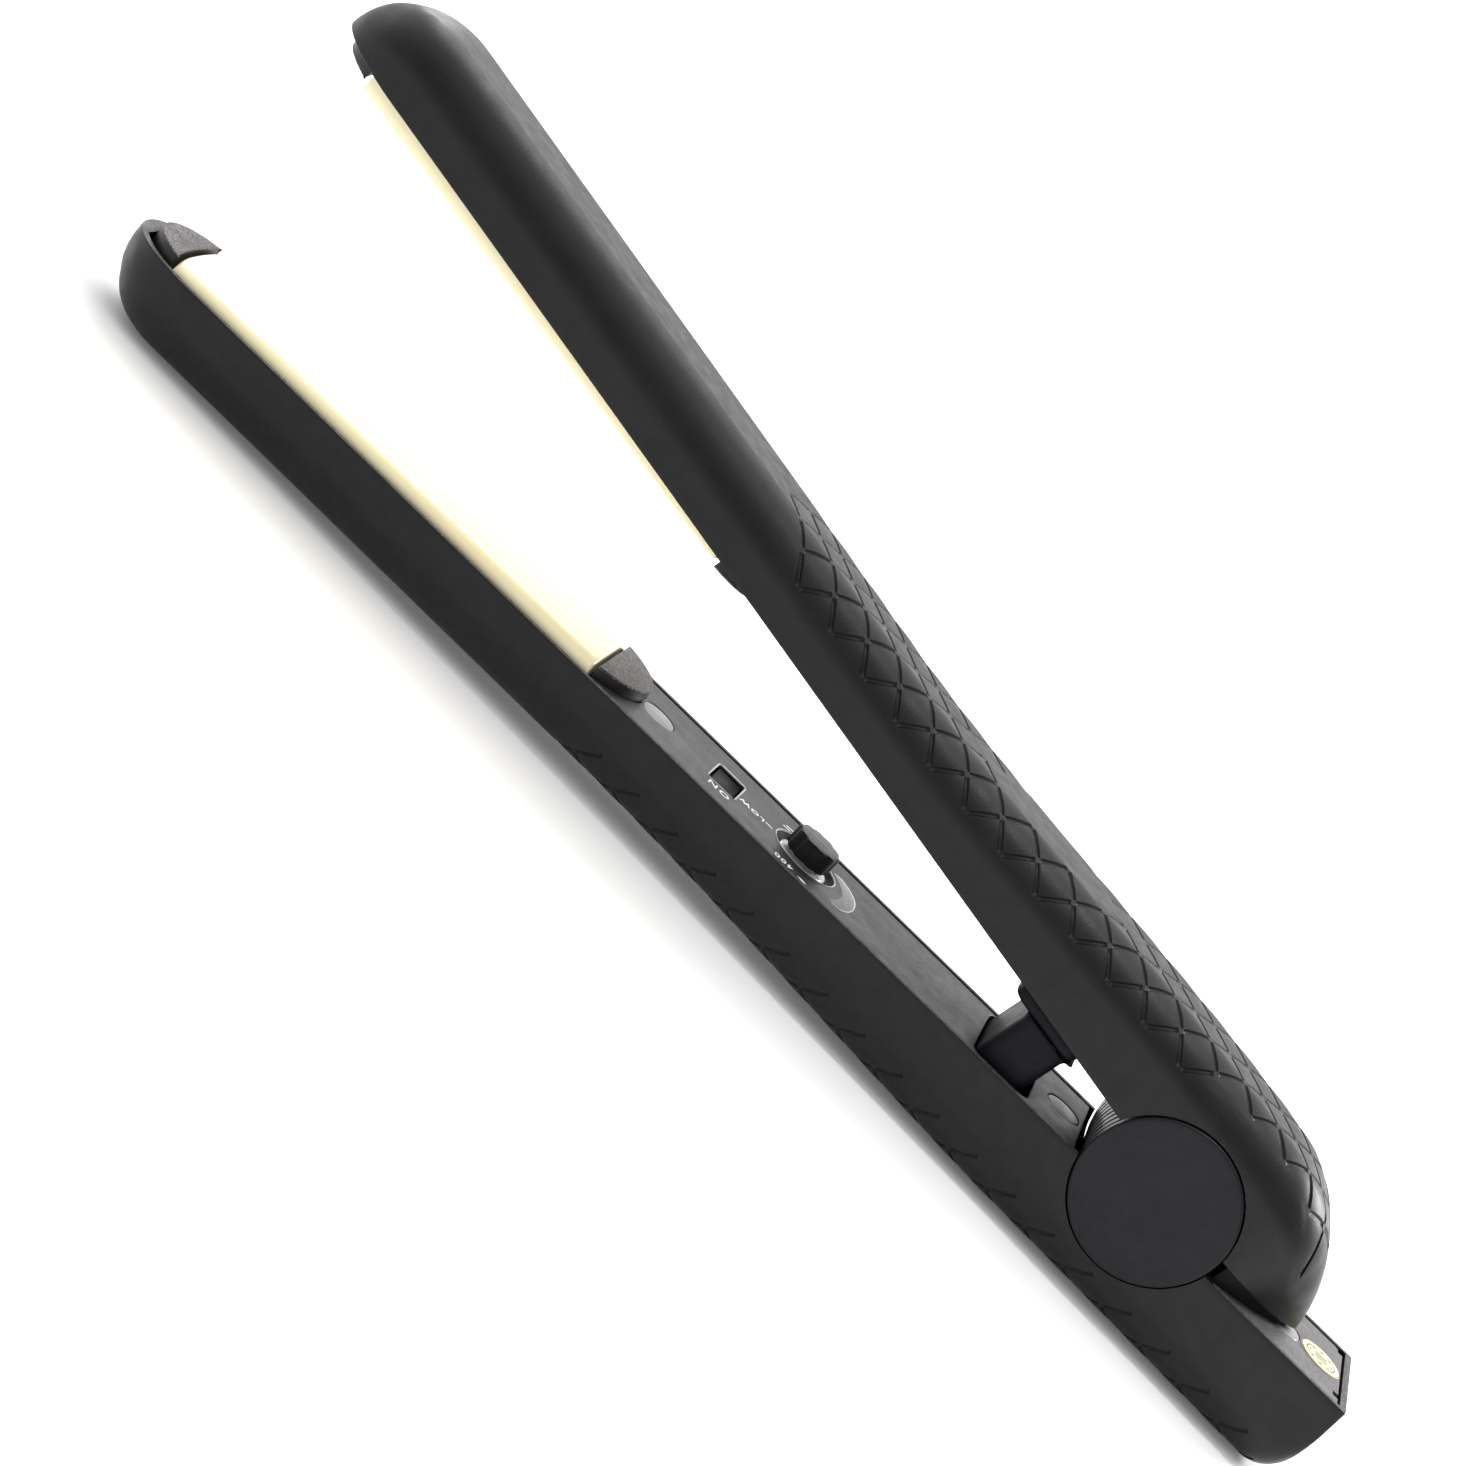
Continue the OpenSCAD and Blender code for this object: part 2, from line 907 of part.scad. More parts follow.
module spring_post() {
    color(soft_black)
        on_upper()
            difference() {
                union() {
                    block(-post_x, post_l - post_x, post_w, -post_drop, -post_top);
                    block(flange_x0 + flange_r, flange_x1 - flange_r, flange_w,
                          -post_top - flange_t, -post_top);
                    block(flange_x0, flange_x1, flange_w - 2 * flange_r,
                          -post_top - flange_t, -post_top);
                    for (x = [flange_x0 + flange_r, flange_x1 - flange_r])
                        for (s = [-1, 1])
                            translate([x, s * (flange_w / 2 - flange_r), -post_top - flange_t])
                                cylinder(r = flange_r, h = flange_t);
                }
                translate([post_mid, 0, -post_drop - 1])
                    cylinder(d = post_bore, h = post_drop - 1);
                for (y = [-8, 8])
                    translate([post_mid, y, -post_top - 8])
                        cylinder(r = screw_r, h = 9);
            }
}

module spring_seat() {
    color(carrier_black)
        on_lower()
            union() {
                translate([seat_x, 0, -19.7])
                    cylinder(d = 11, h = 19.7 + seat_z);
                translate([seat_x, 0, seat_z - eps])
                    cylinder(d = 4.2, h = 1.6);
            }
}

module opening_spring() {
    color(metal)
        on_lower()
            translate([seat_x, 0, seat_z + 0.1])
                skin([for (i = [0 : spring_turns * 18])
                    let (a = i * 20, s = i / (spring_turns * 18))
                    [for (b = [0 : 45 : 315])
                        let (q = spring_r + spring_wire / 2 * cos(b))
                        [q * cos(a) + spring_lean * s, q * sin(a),
                         spring_wire / 2 * (1 + sin(b)) + s * (spring_h - spring_wire)]]]);
}

// The wedge under the heel that rests on the tail cover when the iron is open
pad_x = [16.6, 19, 22, 25, 28, 31, 33];
pad_inset = 1.4;
pad_gap = 0.03;

function pad_w(x) = upper_w(x, 0) - pad_inset;
function pad_z(x) = (cover_top + pad_gap + x * sin(open_angle)) / cos(open_angle);

module heel_stop_pad() {
    color(carrier_black)
        on_upper()
            intersection() {
                linear_extrude(height = 20, center = true)
                    polygon(concat(
                        [for (x = pad_x) [x, pad_w(x)]],
                        [for (i = [len(pad_x) - 1 : -1 : 0]) [pad_x[i], -pad_w(pad_x[i])]]));
                rotate([90, 0, 0])
                    linear_extrude(height = 2 * arm_w, center = true)
                        polygon([
                            [10, pad_z(10)], [heel_x, pad_z(heel_x)],
                            [heel_x, rim], [10, rim]]);
            }
}

lower_housing();
lower_inner_cover();
tail_cover();
lower_plate_carrier();
lower_plate();
lower_heater();
lower_heater_clip();
lower_thermistor();
lower_float_pads();
control_board();
board_components();
temperature_pot();
dial_rotor();
temperature_dial();
dial_light_ring();
power_button();
power_switch();
front_screw_plug();
middle_screw_plug();
rear_screw_plug();
lower_case_screws();
inspection_sticker();
cord_gland();
cord_clamp();
power_leads();
lower_heater_leads();
lower_hinge_bracket();
hinge_pin();
near_hinge_cap();
far_hinge_cap();
hinge_washers();
pivot_spacer();
spring_seat();
opening_spring();
upper_housing();
upper_inner_cover();
upper_plate_carrier();
upper_plate();
upper_heater();
upper_heater_clip();
upper_thermal_fuse();
upper_float_pads();
upper_heater_leads();
upper_hinge_bracket();
spring_post();
upper_case_screws();
heel_stop_pad();
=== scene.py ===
"""Looks of the two-arm hair iron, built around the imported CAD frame.

Shapes are written in millimetres in each arm's own closed frame: origin on the hinge axis,
tip towards -X, the lower arm below z = 0 and the upper arm above it."""
import json
import math

import bmesh
import bpy
import numpy as np
from mathutils import Matrix, Vector


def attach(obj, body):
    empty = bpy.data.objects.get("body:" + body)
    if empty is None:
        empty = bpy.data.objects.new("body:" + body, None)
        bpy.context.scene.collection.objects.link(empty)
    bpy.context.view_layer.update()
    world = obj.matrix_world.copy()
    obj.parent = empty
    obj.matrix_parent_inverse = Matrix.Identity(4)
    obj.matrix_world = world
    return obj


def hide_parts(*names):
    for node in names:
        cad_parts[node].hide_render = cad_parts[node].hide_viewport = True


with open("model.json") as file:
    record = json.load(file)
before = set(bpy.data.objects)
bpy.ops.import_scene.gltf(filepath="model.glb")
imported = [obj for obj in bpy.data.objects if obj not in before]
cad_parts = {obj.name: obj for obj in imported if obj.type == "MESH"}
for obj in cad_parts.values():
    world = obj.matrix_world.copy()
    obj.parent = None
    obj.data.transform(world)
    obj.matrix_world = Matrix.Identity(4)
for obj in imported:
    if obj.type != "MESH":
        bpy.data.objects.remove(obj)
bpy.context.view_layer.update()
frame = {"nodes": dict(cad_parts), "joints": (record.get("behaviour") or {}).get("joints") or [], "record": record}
JOINTS = {j["name"]: j for j in frame["joints"]}

# ---- frames of the two arms ----------------------------------------------

MM = 0.001
PIVOT = Vector(JOINTS["arm_hinge"]["pos_m"])
LAY = math.asin(JOINTS["dial_turn"]["axis"][0])
LIFT = math.asin(JOINTS["upper_plate_float"]["axis"][0])


def arm_frame(angle):
    return Matrix.Translation(PIVOT) @ Matrix.Rotation(angle, 4, "Y") @ Matrix.Scale(MM, 4)


LOW = arm_frame(-LAY)
UP = arm_frame(LIFT)
FLIP = Matrix.Scale(-1, 4, (0, 0, 1))  # a lower-arm shape turned over onto the upper arm
UP_FLIP = UP @ FLIP

# ---- sizes shared with the CAD, in millimetres ---------------------------

HALF = 15.0               # half the width of an arm
NOSE_X, NOSE_L = 243.5, 17.2
NOSE_X0 = NOSE_L - NOSE_X  # where the nose begins to round
TAIL_X, TAIL_R = 48.3, 6.5
TAIL_X0 = TAIL_X - TAIL_R
HEEL_X = 34.7
RIM = 3.4                 # distance of the shell rims from the hinge axis
PLATE_DEPTH, BELLY_DEPTH, BACK_DEPTH = 17.7, 23.1, 23.8
BELLY_X = 9.0
CORNER = 9.0
CUT_R = 15.32             # the round cut of the shells about the hinge
CAP_R = 15.0
COVER_TOP = -RIM - 0.15
COVER_UNDER = COVER_TOP - 1.6
COVER_HALF = 13.2
PLATE_X, PLATE_L, PLATE_W = 231.9, 99.7, 25.2
PLATE_TOP = -1.0
PLATE_TILT = math.radians(0.3)
UPPER_TOP, UPPER_TILT = 3.35 - RIM, math.radians(-1)
BLOCK_TOP = -1.3
BLOCK_X, BLOCK_R = -135.1, 12.55  # centre and radius of the rear block's round face
BUTTON_X, BUTTON_L, BUTTON_W = 102.2, 5.5, 10.0
DIAL_X, DIAL_D, DIAL_H, WELL_D = 83.1, 9.4, 4.0, 13.6
PLUGS = {"front_screw_plug": -118.8, "middle_screw_plug": -20.4, "rear_screw_plug": 33.0}
PLUG_D = 7.3
SLOT = (-40.1, -27.4, 12.4)  # ends and half width of the spring post's slot
COVER_ENDS = (-131.2, -15.9)
POST_X, POST_L, POST_W, POST_DROP = 38.2, 10.4, 24.0, 12.5

# ---- camera ---------------------------------------------------------------

LENS = 93.0
CAM_AT = Vector((-93.6, -637.4, 171.0))
CAM_RIGHT = Vector((0.7169, 0.1916, 0.6704))
CAM_DOWN = Vector((0.6969, -0.1682, -0.6972))


def make_camera():
    data = bpy.data.cameras.new("camera")
    data.lens, data.sensor_width = LENS, 36.0
    data.clip_start, data.clip_end = 0.02, 50
    cam = bpy.data.objects.new("camera", data)
    bpy.context.scene.collection.objects.link(cam)
    turn = LOW.to_3x3().normalized()
    right, down = (turn @ CAM_RIGHT).normalized(), (turn @ CAM_DOWN).normalized()
    back = right.cross(-down).normalized()
    up = back.cross(right)
    m = Matrix((right, up, back)).transposed().to_4x4()
    m.translation = LOW @ CAM_AT
    cam.matrix_world = m
    bpy.context.scene.camera = cam


make_camera()

# ---- materials ------------------------------------------------------------


def material(name, color, rough=0.5, metal=0.0, grain=0.0, grain_mm=0.3, mottle=0.12,
             rough_var=0.06, wear=0.0, coat=0.0, spec=0.5, speck=0.0, emit=0.0):
    """A moulded or coated surface: base colour with a slow mottle and fine specks, broken
    roughness, fine grain as bump, and paler rubbed edges where wear is above 0."""
    mat = bpy.data.materials.new(name)
    mat.use_nodes = True
    nt = mat.node_tree
    nd, ln = nt.nodes, nt.links
    bsdf = nd["Principled BSDF"]
    bsdf.inputs["Metallic"].default_value = metal
    bsdf.inputs["Coat Weight"].default_value = coat
    bsdf.inputs["Coat Roughness"].default_value = 0.15
    bsdf.inputs["Specular IOR Level"].default_value = spec
    place = nd.new("ShaderNodeTexCoord")

    def noise(size_mm, detail=3.0):
        n = nd.new("ShaderNodeTexNoise")
        n.inputs["Scale"].default_value = 1000.0 / size_mm
        n.inputs["Detail"].default_value = detail
        ln.new(place.outputs["Object"], n.inputs["Vector"])
        return n

    def mapped(source, low, high):
        m = nd.new("ShaderNodeMapRange")
        m.inputs["From Min"].default_value = 0.3
        m.inputs["From Max"].default_value = 0.7
        m.inputs["To Min"].default_value = low
        m.inputs["To Max"].default_value = high
        ln.new(source, m.inputs["Value"])
        return m

    mix = nd.new("ShaderNodeMix")
    mix.data_type = "RGBA"
    mix.inputs["A"].default_value = (*color, 1)
    other = [min(1, c * (1 + mottle) + 0.002) for c in color]
    mix.inputs["B"].default_value = (*other, 1)
    slow = mapped(noise(14).outputs["Fac"], 0, 1)
    ln.new(slow.outputs["Result"], mix.inputs["Factor"])
    out = mix.outputs["Result"]
    if speck > 0:
        dots = nd.new("ShaderNodeMix")
        dots.data_type = "RGBA"
        dots.blend_type = "MULTIPLY"
        dots.inputs["Factor"].default_value = 1
        ln.new(out, dots.inputs["A"])
        fine = mapped(noise(grain_mm * 1.6, 1.0).outputs["Fac"], 1 - speck, 1 + speck)
        ln.new(fine.outputs["Result"], dots.inputs["B"])
        out = dots.outputs["Result"]
    if wear > 0:
        geo = nd.new("ShaderNodeNewGeometry")
        edge = nd.new("ShaderNodeMapRange")
        edge.inputs["From Min"].default_value = 0.53
        edge.inputs["From Max"].default_value = 0.62
        edge.inputs["To Max"].default_value = wear
        ln.new(geo.outputs["Pointiness"], edge.inputs["Value"])
        worn = nd.new("ShaderNodeMix")
        worn.data_type = "RGBA"
        ln.new(edge.outputs["Result"], worn.inputs["Factor"])
        ln.new(out, worn.inputs["A"])
        worn.inputs["B"].default_value = (*[min(1, c * 2.5 + 0.10) for c in color], 1)
        out = worn.outputs["Result"]
    ln.new(out, bsdf.inputs["Base Color"])
    broken = mapped(noise(3.1).outputs["Fac"], max(0.02, rough - rough_var), rough + rough_var)
    ln.new(broken.outputs["Result"], bsdf.inputs["Roughness"])
    if grain > 0:
        bump = nd.new("ShaderNodeBump")
        bump.inputs["Strength"].default_value = grain
        bump.inputs["Distance"].default_value = grain_mm * MM * 0.25
        ln.new(noise(grain_mm, 2.0).outputs["Fac"], bump.inputs["Height"])
        ln.new(bump.outputs["Normal"], bsdf.inputs["Normal"])
    # emission in the base colour: it keeps the floor evenly white; on the plates and the white print it is a
    # painted glow
    if emit > 0:
        bsdf.inputs["Emission Color"].default_value = (*color, 1)
        bsdf.inputs["Emission Strength"].default_value = emit
    return mat


MATS = {
    "soft_touch_black": material("soft_touch_black", (0.0062, 0.0062, 0.0066), 0.40, grain=0.6,
                                 grain_mm=0.28, wear=0.10, spec=0.26),
    "cover_grey": material("cover_grey", (0.025, 0.022, 0.0215), 0.44, grain=0.9,
                           grain_mm=0.26, mottle=0.12, rough_var=0.05, speck=0.75, spec=0.36),
    "carrier_black": material("carrier_black", (0.007, 0.007, 0.008), 0.40, grain=0.7,
                              grain_mm=0.3, wear=0.15, spec=0.3),
    "hinge_black": material("hinge_black", (0.0055, 0.0055, 0.0085), 0.38, grain=0.4,
                            grain_mm=0.3, wear=0.12, spec=0.23),
    # painted glow: the plates' emission brightens the ceramic as though lit, though they are no lamp
    "ivory_ceramic": material("ivory_ceramic", (0.86, 0.78, 0.50), 0.34, mottle=0.02,
                              rough_var=0.03, coat=0.6, emit=0.06),
    "heater_ceramic": material("heater_ceramic", (0.80, 0.80, 0.76), 0.7, grain=0.4),
    "clip_aluminium": material("clip_aluminium", (0.70, 0.71, 0.72), 0.35, metal=1.0, grain=0.3),
    "screw_steel": material("screw_steel", (0.55, 0.55, 0.56), 0.3, metal=1.0, grain=0.2),
    "spring_steel": material("spring_steel", (0.45, 0.45, 0.47), 0.3, metal=1.0, grain=0.2),
    "silicone_red": material("silicone_red", (0.50, 0.12, 0.09), 0.55, grain=0.2),
    "stop_rubber": material("stop_rubber", (0.006, 0.006, 0.008), 0.6, grain=0.4, spec=0.12),
    "board_green": material("board_green", (0.03, 0.20, 0.09), 0.35, grain=0.2, coat=0.3),
    "component_black": material("component_black", (0.05, 0.05, 0.055), 0.5, grain=0.3),
    "knob_black": material("knob_black", (0.006, 0.006, 0.007), 0.5, grain=0.2, wear=0.2,
                           spec=0.15),
    "button_black": material("button_black", (0.004, 0.004, 0.005), 0.3, grain=0.03, spec=0.08),
    "rotor_white": material("rotor_white", (0.75, 0.75, 0.72), 0.5, grain=0.2),
    "ring_pale": material("ring_pale", (0.62, 0.62, 0.57), 0.25, grain=0.1, coat=0.3),
    "plug_grey": material("plug_grey", (0.22, 0.22, 0.225), 0.34, grain=0.3, rough_var=0.08),
    "sticker_gold": material("sticker_gold", (0.74, 0.70, 0.44), 0.50, grain=0.15,
                             mottle=0.06, spec=0.2),
    "lead_white": material("lead_white", (0.75, 0.75, 0.73), 0.6, grain=0.3),
}
# the print's white is real; its emission is a painted glow that makes it shine a little
PRINT = material("print_white_painted_glow", (0.92, 0.92, 0.90), 0.6, grain=0.2, emit=0.15)
PRINT_DIM = material("print_grey", (0.26, 0.25, 0.26), 0.5, grain=0.2, speck=0.3)
INK = material("sticker_ink", (0.07, 0.06, 0.02), 0.5, grain=0.1, spec=0.2)
# painted light: a paler copy of the carrier's black for its tops, lit against dark side walls
BLOCK_LIT_TOP = material("block_painted_top_light", (0.095, 0.086, 0.088), 0.50, grain=0.8, grain_mm=0.26,
                      rough_var=0.08, speck=0.9, spec=0.12)
TAIL_FACE = material("tail_face", (0.072, 0.068, 0.068), 0.42, grain=0.9, grain_mm=0.26,
                     speck=0.5)
# painted highlight: a paler colour for the lit line along the flat of the black rim
RIM_HIGHLIGHT = material("rim_painted_highlight", (0.075, 0.069, 0.070), 0.50, grain=0.6, grain_mm=0.3, speck=0.7,
                    spec=0.12)
COVER_DARK = material("dial_top", (0.030, 0.028, 0.028), 0.42, grain=0.9, grain_mm=0.26, speck=0.6)
POST_BLACK = material("post_black", (0.006, 0.006, 0.009), 0.5, grain=0.5, spec=0.12)
DARK_STEEL = material("dark_steel", (0.06, 0.06, 0.065), 0.4, metal=1.0, grain=0.2)
# painted highlight: a pale grey for the lit edges round the button's opening and the dial's well
EDGE_HIGHLIGHT = material("painted_edge_highlight", (0.42, 0.42, 0.41), 0.28, grain=0.1, coat=0.2)
# painted shade: a near-black, fully matte colour for the groove round the dial's light ring
GROOVE_SHADE = material("painted_groove_shade", (0.004, 0.004, 0.004), 0.8, grain=0.2)

for part in frame["record"]["subparts"]:
    node = frame["nodes"][part["node"]]
    node.data.materials.clear()
    node.data.materials.append(
        DARK_STEEL if part["node"] == "hinge_washers" else MATS[part["material_slot"]])

# ---- mesh helpers -----------------------------------------------------------


def piece(name, mesh, body, slot=None, replaces=(), mat=None, sharp=30):
    """Links a finished mesh (already in metres, row frame) as a piece of the object."""
    obj = bpy.data.objects.new(name, mesh)
    bpy.context.scene.collection.objects.link(obj)
    mesh.polygons.foreach_set("use_smooth", [True] * len(mesh.polygons))
    mesh.set_sharp_from_angle(angle=math.radians(sharp))
    mesh.materials.clear()
    mesh.materials.append(mat or MATS[slot])
    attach(obj, body)
    if replaces:
        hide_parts(*replaces)
    return obj


def to_mesh(name, verts, faces, m, weld=0.0):
    """Verts in millimetres through matrix m, welded, with normals turned outwards."""
    mesh = bpy.data.meshes.new(name)
    mesh.from_pydata([tuple(v) for v in verts], [], [tuple(f) for f in faces])
    bm = bmesh.new()
    bm.from_mesh(mesh)
    if weld:
        bmesh.ops.remove_doubles(bm, verts=bm.verts, dist=weld)
        bmesh.ops.dissolve_degenerate(bm, edges=bm.edges, dist=weld)
    bmesh.ops.transform(bm, matrix=m, verts=bm.verts)
    bmesh.ops.recalc_face_normals(bm, faces=bm.faces)
    bm.to_mesh(mesh)
    bm.free()
    return mesh


def join(*meshes):
    """One mesh from several."""
    bm = bmesh.new()
    for mesh in meshes:
        bm.from_mesh(mesh)
    out = bpy.data.meshes.new(meshes[0].name)
    bm.to_mesh(out)
    bm.free()
    return out


def skin(rings, closed=True, caps=True):
    """Verts and faces of a loft through rings of equal length."""
    rings = np.asarray(rings, float)
    m, n = rings.shape[:2]
    verts = rings.reshape(-1, 3)
    k = n if closed else n - 1
    i, j = np.meshgrid(np.arange(m - 1), np.arange(k), indexing="ij")
    j2 = (j + 1) % n
    quads = np.stack([i * n + j, (i + 1) * n + j, (i + 1) * n + j2, i * n + j2], -1)
    faces = [tuple(int(a) for a in q) for q in quads.reshape(-1, 4)]
    if caps:
        faces.append(tuple(range(n)))
        faces.append(tuple((m - 1) * n + a for a in range(n - 1, -1, -1)))
    return verts, faces


def slab(name, outlines, z0, z1, m, bevel=0.2, steps=3):
    """A flat part from closed outlines, the first its edge and the rest holes, with rounded
    edges, from z0 to z1 in the frame m."""
    curve = bpy.data.curves.new(name, "CURVE")
    curve.dimensions = "2D"
    curve.fill_mode = "BOTH"
    curve.extrude = (z1 - z0) / 2 - bevel
    curve.bevel_depth = bevel
    curve.bevel_resolution = steps
    curve.offset = -bevel
    for line in outlines:
        s = curve.splines.new("POLY")
        s.points.add(len(line) - 1)
        for p, (x, y) in zip(s.points, line):
            p.co = (x, y, 0, 1)
        s.use_cyclic_u = True
    return curve_mesh(name, curve, m @ Matrix.Translation((0, 0, (z0 + z1) / 2)))


def curve_mesh(name, curve, m):
    """A filled or extruded curve as a welded mesh in the frame m."""
    tmp = bpy.data.objects.new("tmp", curve)
    bpy.context.scene.collection.objects.link(tmp)
    bpy.context.view_layer.update()
    mesh = bpy.data.meshes.new_from_object(
        tmp.evaluated_get(bpy.context.evaluated_depsgraph_get()))
    bpy.data.objects.remove(tmp)
    bm = bmesh.new()
    bm.from_mesh(mesh)
    bmesh.ops.remove_doubles(bm, verts=bm.verts, dist=1e-4)
    bmesh.ops.dissolve_degenerate(bm, edges=bm.edges, dist=1e-4)
    bmesh.ops.transform(bm, matrix=m, verts=bm.verts)
    bmesh.ops.recalc_face_normals(bm, faces=bm.faces)
    bm.to_mesh(mesh)
    bm.free()
    mesh.name = name
    return mesh


def arc(cx, cy, r, a0, a1, n):
    """n + 1 points of an arc, its angles in degrees."""
    return [(cx + r * math.cos(math.radians(a0 + (a1 - a0) * i / n)),
             cy + r * math.sin(math.radians(a0 + (a1 - a0) * i / n))) for i in range(n + 1)]


def circle(cx, cy, r, n=72):
    return arc(cx, cy, r, 0, 360, n)[:-1]


def rect(x0, x1, y0, y1, r=0.5, n=5):
    """A rectangle with rounded corners."""
    return (arc(x1 - r, y1 - r, r, 0, 90, n) + arc(x0 + r, y1 - r, r, 90, 180, n)
            + arc(x0 + r, y0 + r, r, 180, 270, n) + arc(x1 - r, y0 + r, r, 270, 360, n))


def lathe(name, profile, m, n=96):
    """A closed profile of (radius, height) turned about the z axis of m."""
    rings = [[(r * math.cos(a), r * math.sin(a), h) for r, h in profile]
             for a in np.linspace(0, 2 * math.pi, n, endpoint=False)]
    rings.append(rings[0])
    verts, faces = skin(rings, closed=True, caps=False)
    return to_mesh(name, verts, faces, m, weld=1e-4)


def rounded_disc(r, h0, h1, e, hole=0.0, n=4):
    """Profile of a disc or ring with its outer edges rounded by e."""
    top = [(r - e + e * math.cos(a), h1 - e + e * math.sin(a))
           for a in np.linspace(0, math.pi / 2, n + 1)]
    low = [(r - e + e * math.cos(a), h0 + e + e * math.sin(a))
           for a in np.linspace(-math.pi / 2, 0, n + 1)]
    return [(hole, h0)] + low + top + [(hole, h1)]


ACROSS = Matrix.Rotation(math.radians(-90), 4, "X")  # local z to the arm's +Y

# ---- the two shells -----------------------------------------------------------


def smooth(s):
    """0 to 1 with level ends."""
    s = np.clip(s, 0, 1)
    return s * s * (3 - 2 * s)


# In these profiles k is how far a shell is inset from its outside, and a width is half of
# the arm's. Depths are measured from the hinge axis.


def nose_t(x, k):
    return np.clip((NOSE_X0 - x) / (NOSE_L - k), 0, 1)


def nose_w(x, k, p=2.0):
    return (HALF - k) * np.maximum(0, 1 - nose_t(x, k) ** p) ** (1 / p)


def nose_d(x, k, p=2.3):
    return np.maximum(0, 1 - nose_t(x, k) ** p) ** (1 / p)


def lower_w(x, k):
    return nose_w(x, k, 2.25)


def lower_d(x, k):
    table = BELLY_DEPTH + (x - BELLY_X) * math.tan(LAY)
    rise = PLATE_DEPTH + (BELLY_DEPTH - PLATE_DEPTH) * smooth((x + 130) / 139)
    run = np.where(x > BELLY_X, table, np.minimum(table, rise))  # never below the table
    r = TAIL_R - k
    drop = np.where(x < TAIL_X0, 0, r - np.sqrt(np.maximum(0, r * r - (x - TAIL_X0) ** 2)))
    return RIM + (run - k - RIM) * nose_d(x, k, 2.7) - drop


def heel_t(x, x0, k):
    return np.clip((x - x0) / (HEEL_X - k - x0), 0, 1)


def upper_w(x, k):
    return nose_w(x, k) * (1 - heel_t(x, 12, k) ** 1.9) ** 0.85


def upper_d(x, k):
    run = PLATE_DEPTH + (BACK_DEPTH - PLATE_DEPTH) * smooth((x + 100) / 110)
    return RIM + (run - k - RIM) * nose_d(x, k) * (1 - heel_t(x, 6, k) ** 2.4) ** 0.77


# The grip: length and half height of a cell, its front corner, its edge round the section
GRIP_PITCH, GRIP_ROW, GRIP_X, GRIP_T = 9.4, 4.95, -120.2, 17.325
# Half widths of a stroke at the surface and at its floor, its depth, and its clear ends
STROKE_W, STROKE_FLOOR, STROKE_D, STROKE_GAP = 0.58, 0.24, 0.48, 0.36
CREASE = math.radians(8)  # step between the flat outer face and the rounded corner
LIP = 1.45                # width of the rim, up to the inner covers
NOSE_LIP = 2.9            # depth of the ledge in front of the crescent


def surface(x, t, width, depth, inset=0.0):
    """Point and normal (y, z, ny, nz) of a shell at x, the distance t round from its middle."""
    w, d = width(x, 0) - inset, depth(x, 0) - inset
    w, d = np.maximum(w, 0.01), np.maximum(d, RIM + 0.01)
    q = np.minimum(CORNER, np.minimum(w * 0.96, (d - RIM) * 0.92))
    a = np.abs(t)
    flat = w - q + q * math.sin(CREASE)
    turn = flat + q * (math.pi / 2 - CREASE)
    ang = np.clip(CREASE + (a - flat) / q, CREASE, math.pi / 2)
    on_flat, on_side = a < flat, a > turn
    y = np.where(on_flat, a, np.where(on_side, w, w - q + q * np.sin(ang)))
    z = np.where(on_flat, d - q + q * math.cos(CREASE),
                 d - q + q * np.cos(ang) - np.maximum(0, a - turn))
    ny = np.where(on_flat, 0, np.where(on_side, 1, np.sin(ang)))
    nz = np.where(on_flat, 1, np.where(on_side, 0, np.cos(ang)))
    return np.sign(t) * y, z, np.sign(t) * ny, nz


def crown(x, t, upper):
    """How far the surface sinks between the crowned cells of the grip."""
    p, q = (x - GRIP_X) / GRIP_PITCH, (t + GRIP_T) / (2 * GRIP_ROW)
    cell = np.abs(np.sin(math.pi * (p + q)) * np.sin(math.pi * (p - q)))
    return 0.15 * (1 - cell ** 0.6) * grip_area(x, t, upper)


def grip_area(x, t, upper):
    """Above 0.5 where the grip pattern lies."""
    a = np.abs(t)
    p = (x - GRIP_X) / GRIP_PITCH
    area = smooth((GRIP_T + 0.35 - a) / 0.6)
    area = area * smooth((p + (GRIP_T - a) / (2 * GRIP_ROW) + 0.12) / 0.1)
    if upper:
        # the border climbs towards the ridge along the heel
        edge = np.interp(x, [-40, -16, -5, 10, 22, 34], [17.3, 17.3, 12.6, 12.6, 14.5, 16.0])
        area = area * smooth((edge + 0.3 - a) / 0.6)
        # the smooth eye in the middle of the back
        ex = (x + 59) / 22.5
        ey = a / (9.3 * np.maximum(0.02, 1 - np.abs(ex) ** 1.6))
        area = area * np.where(np.abs(ex) < 1, smooth((ey - 0.97) / 0.08), 1)
        return area * smooth((25.5 - x) / 1.0)
    return area * smooth((43 - x) / 1.0)


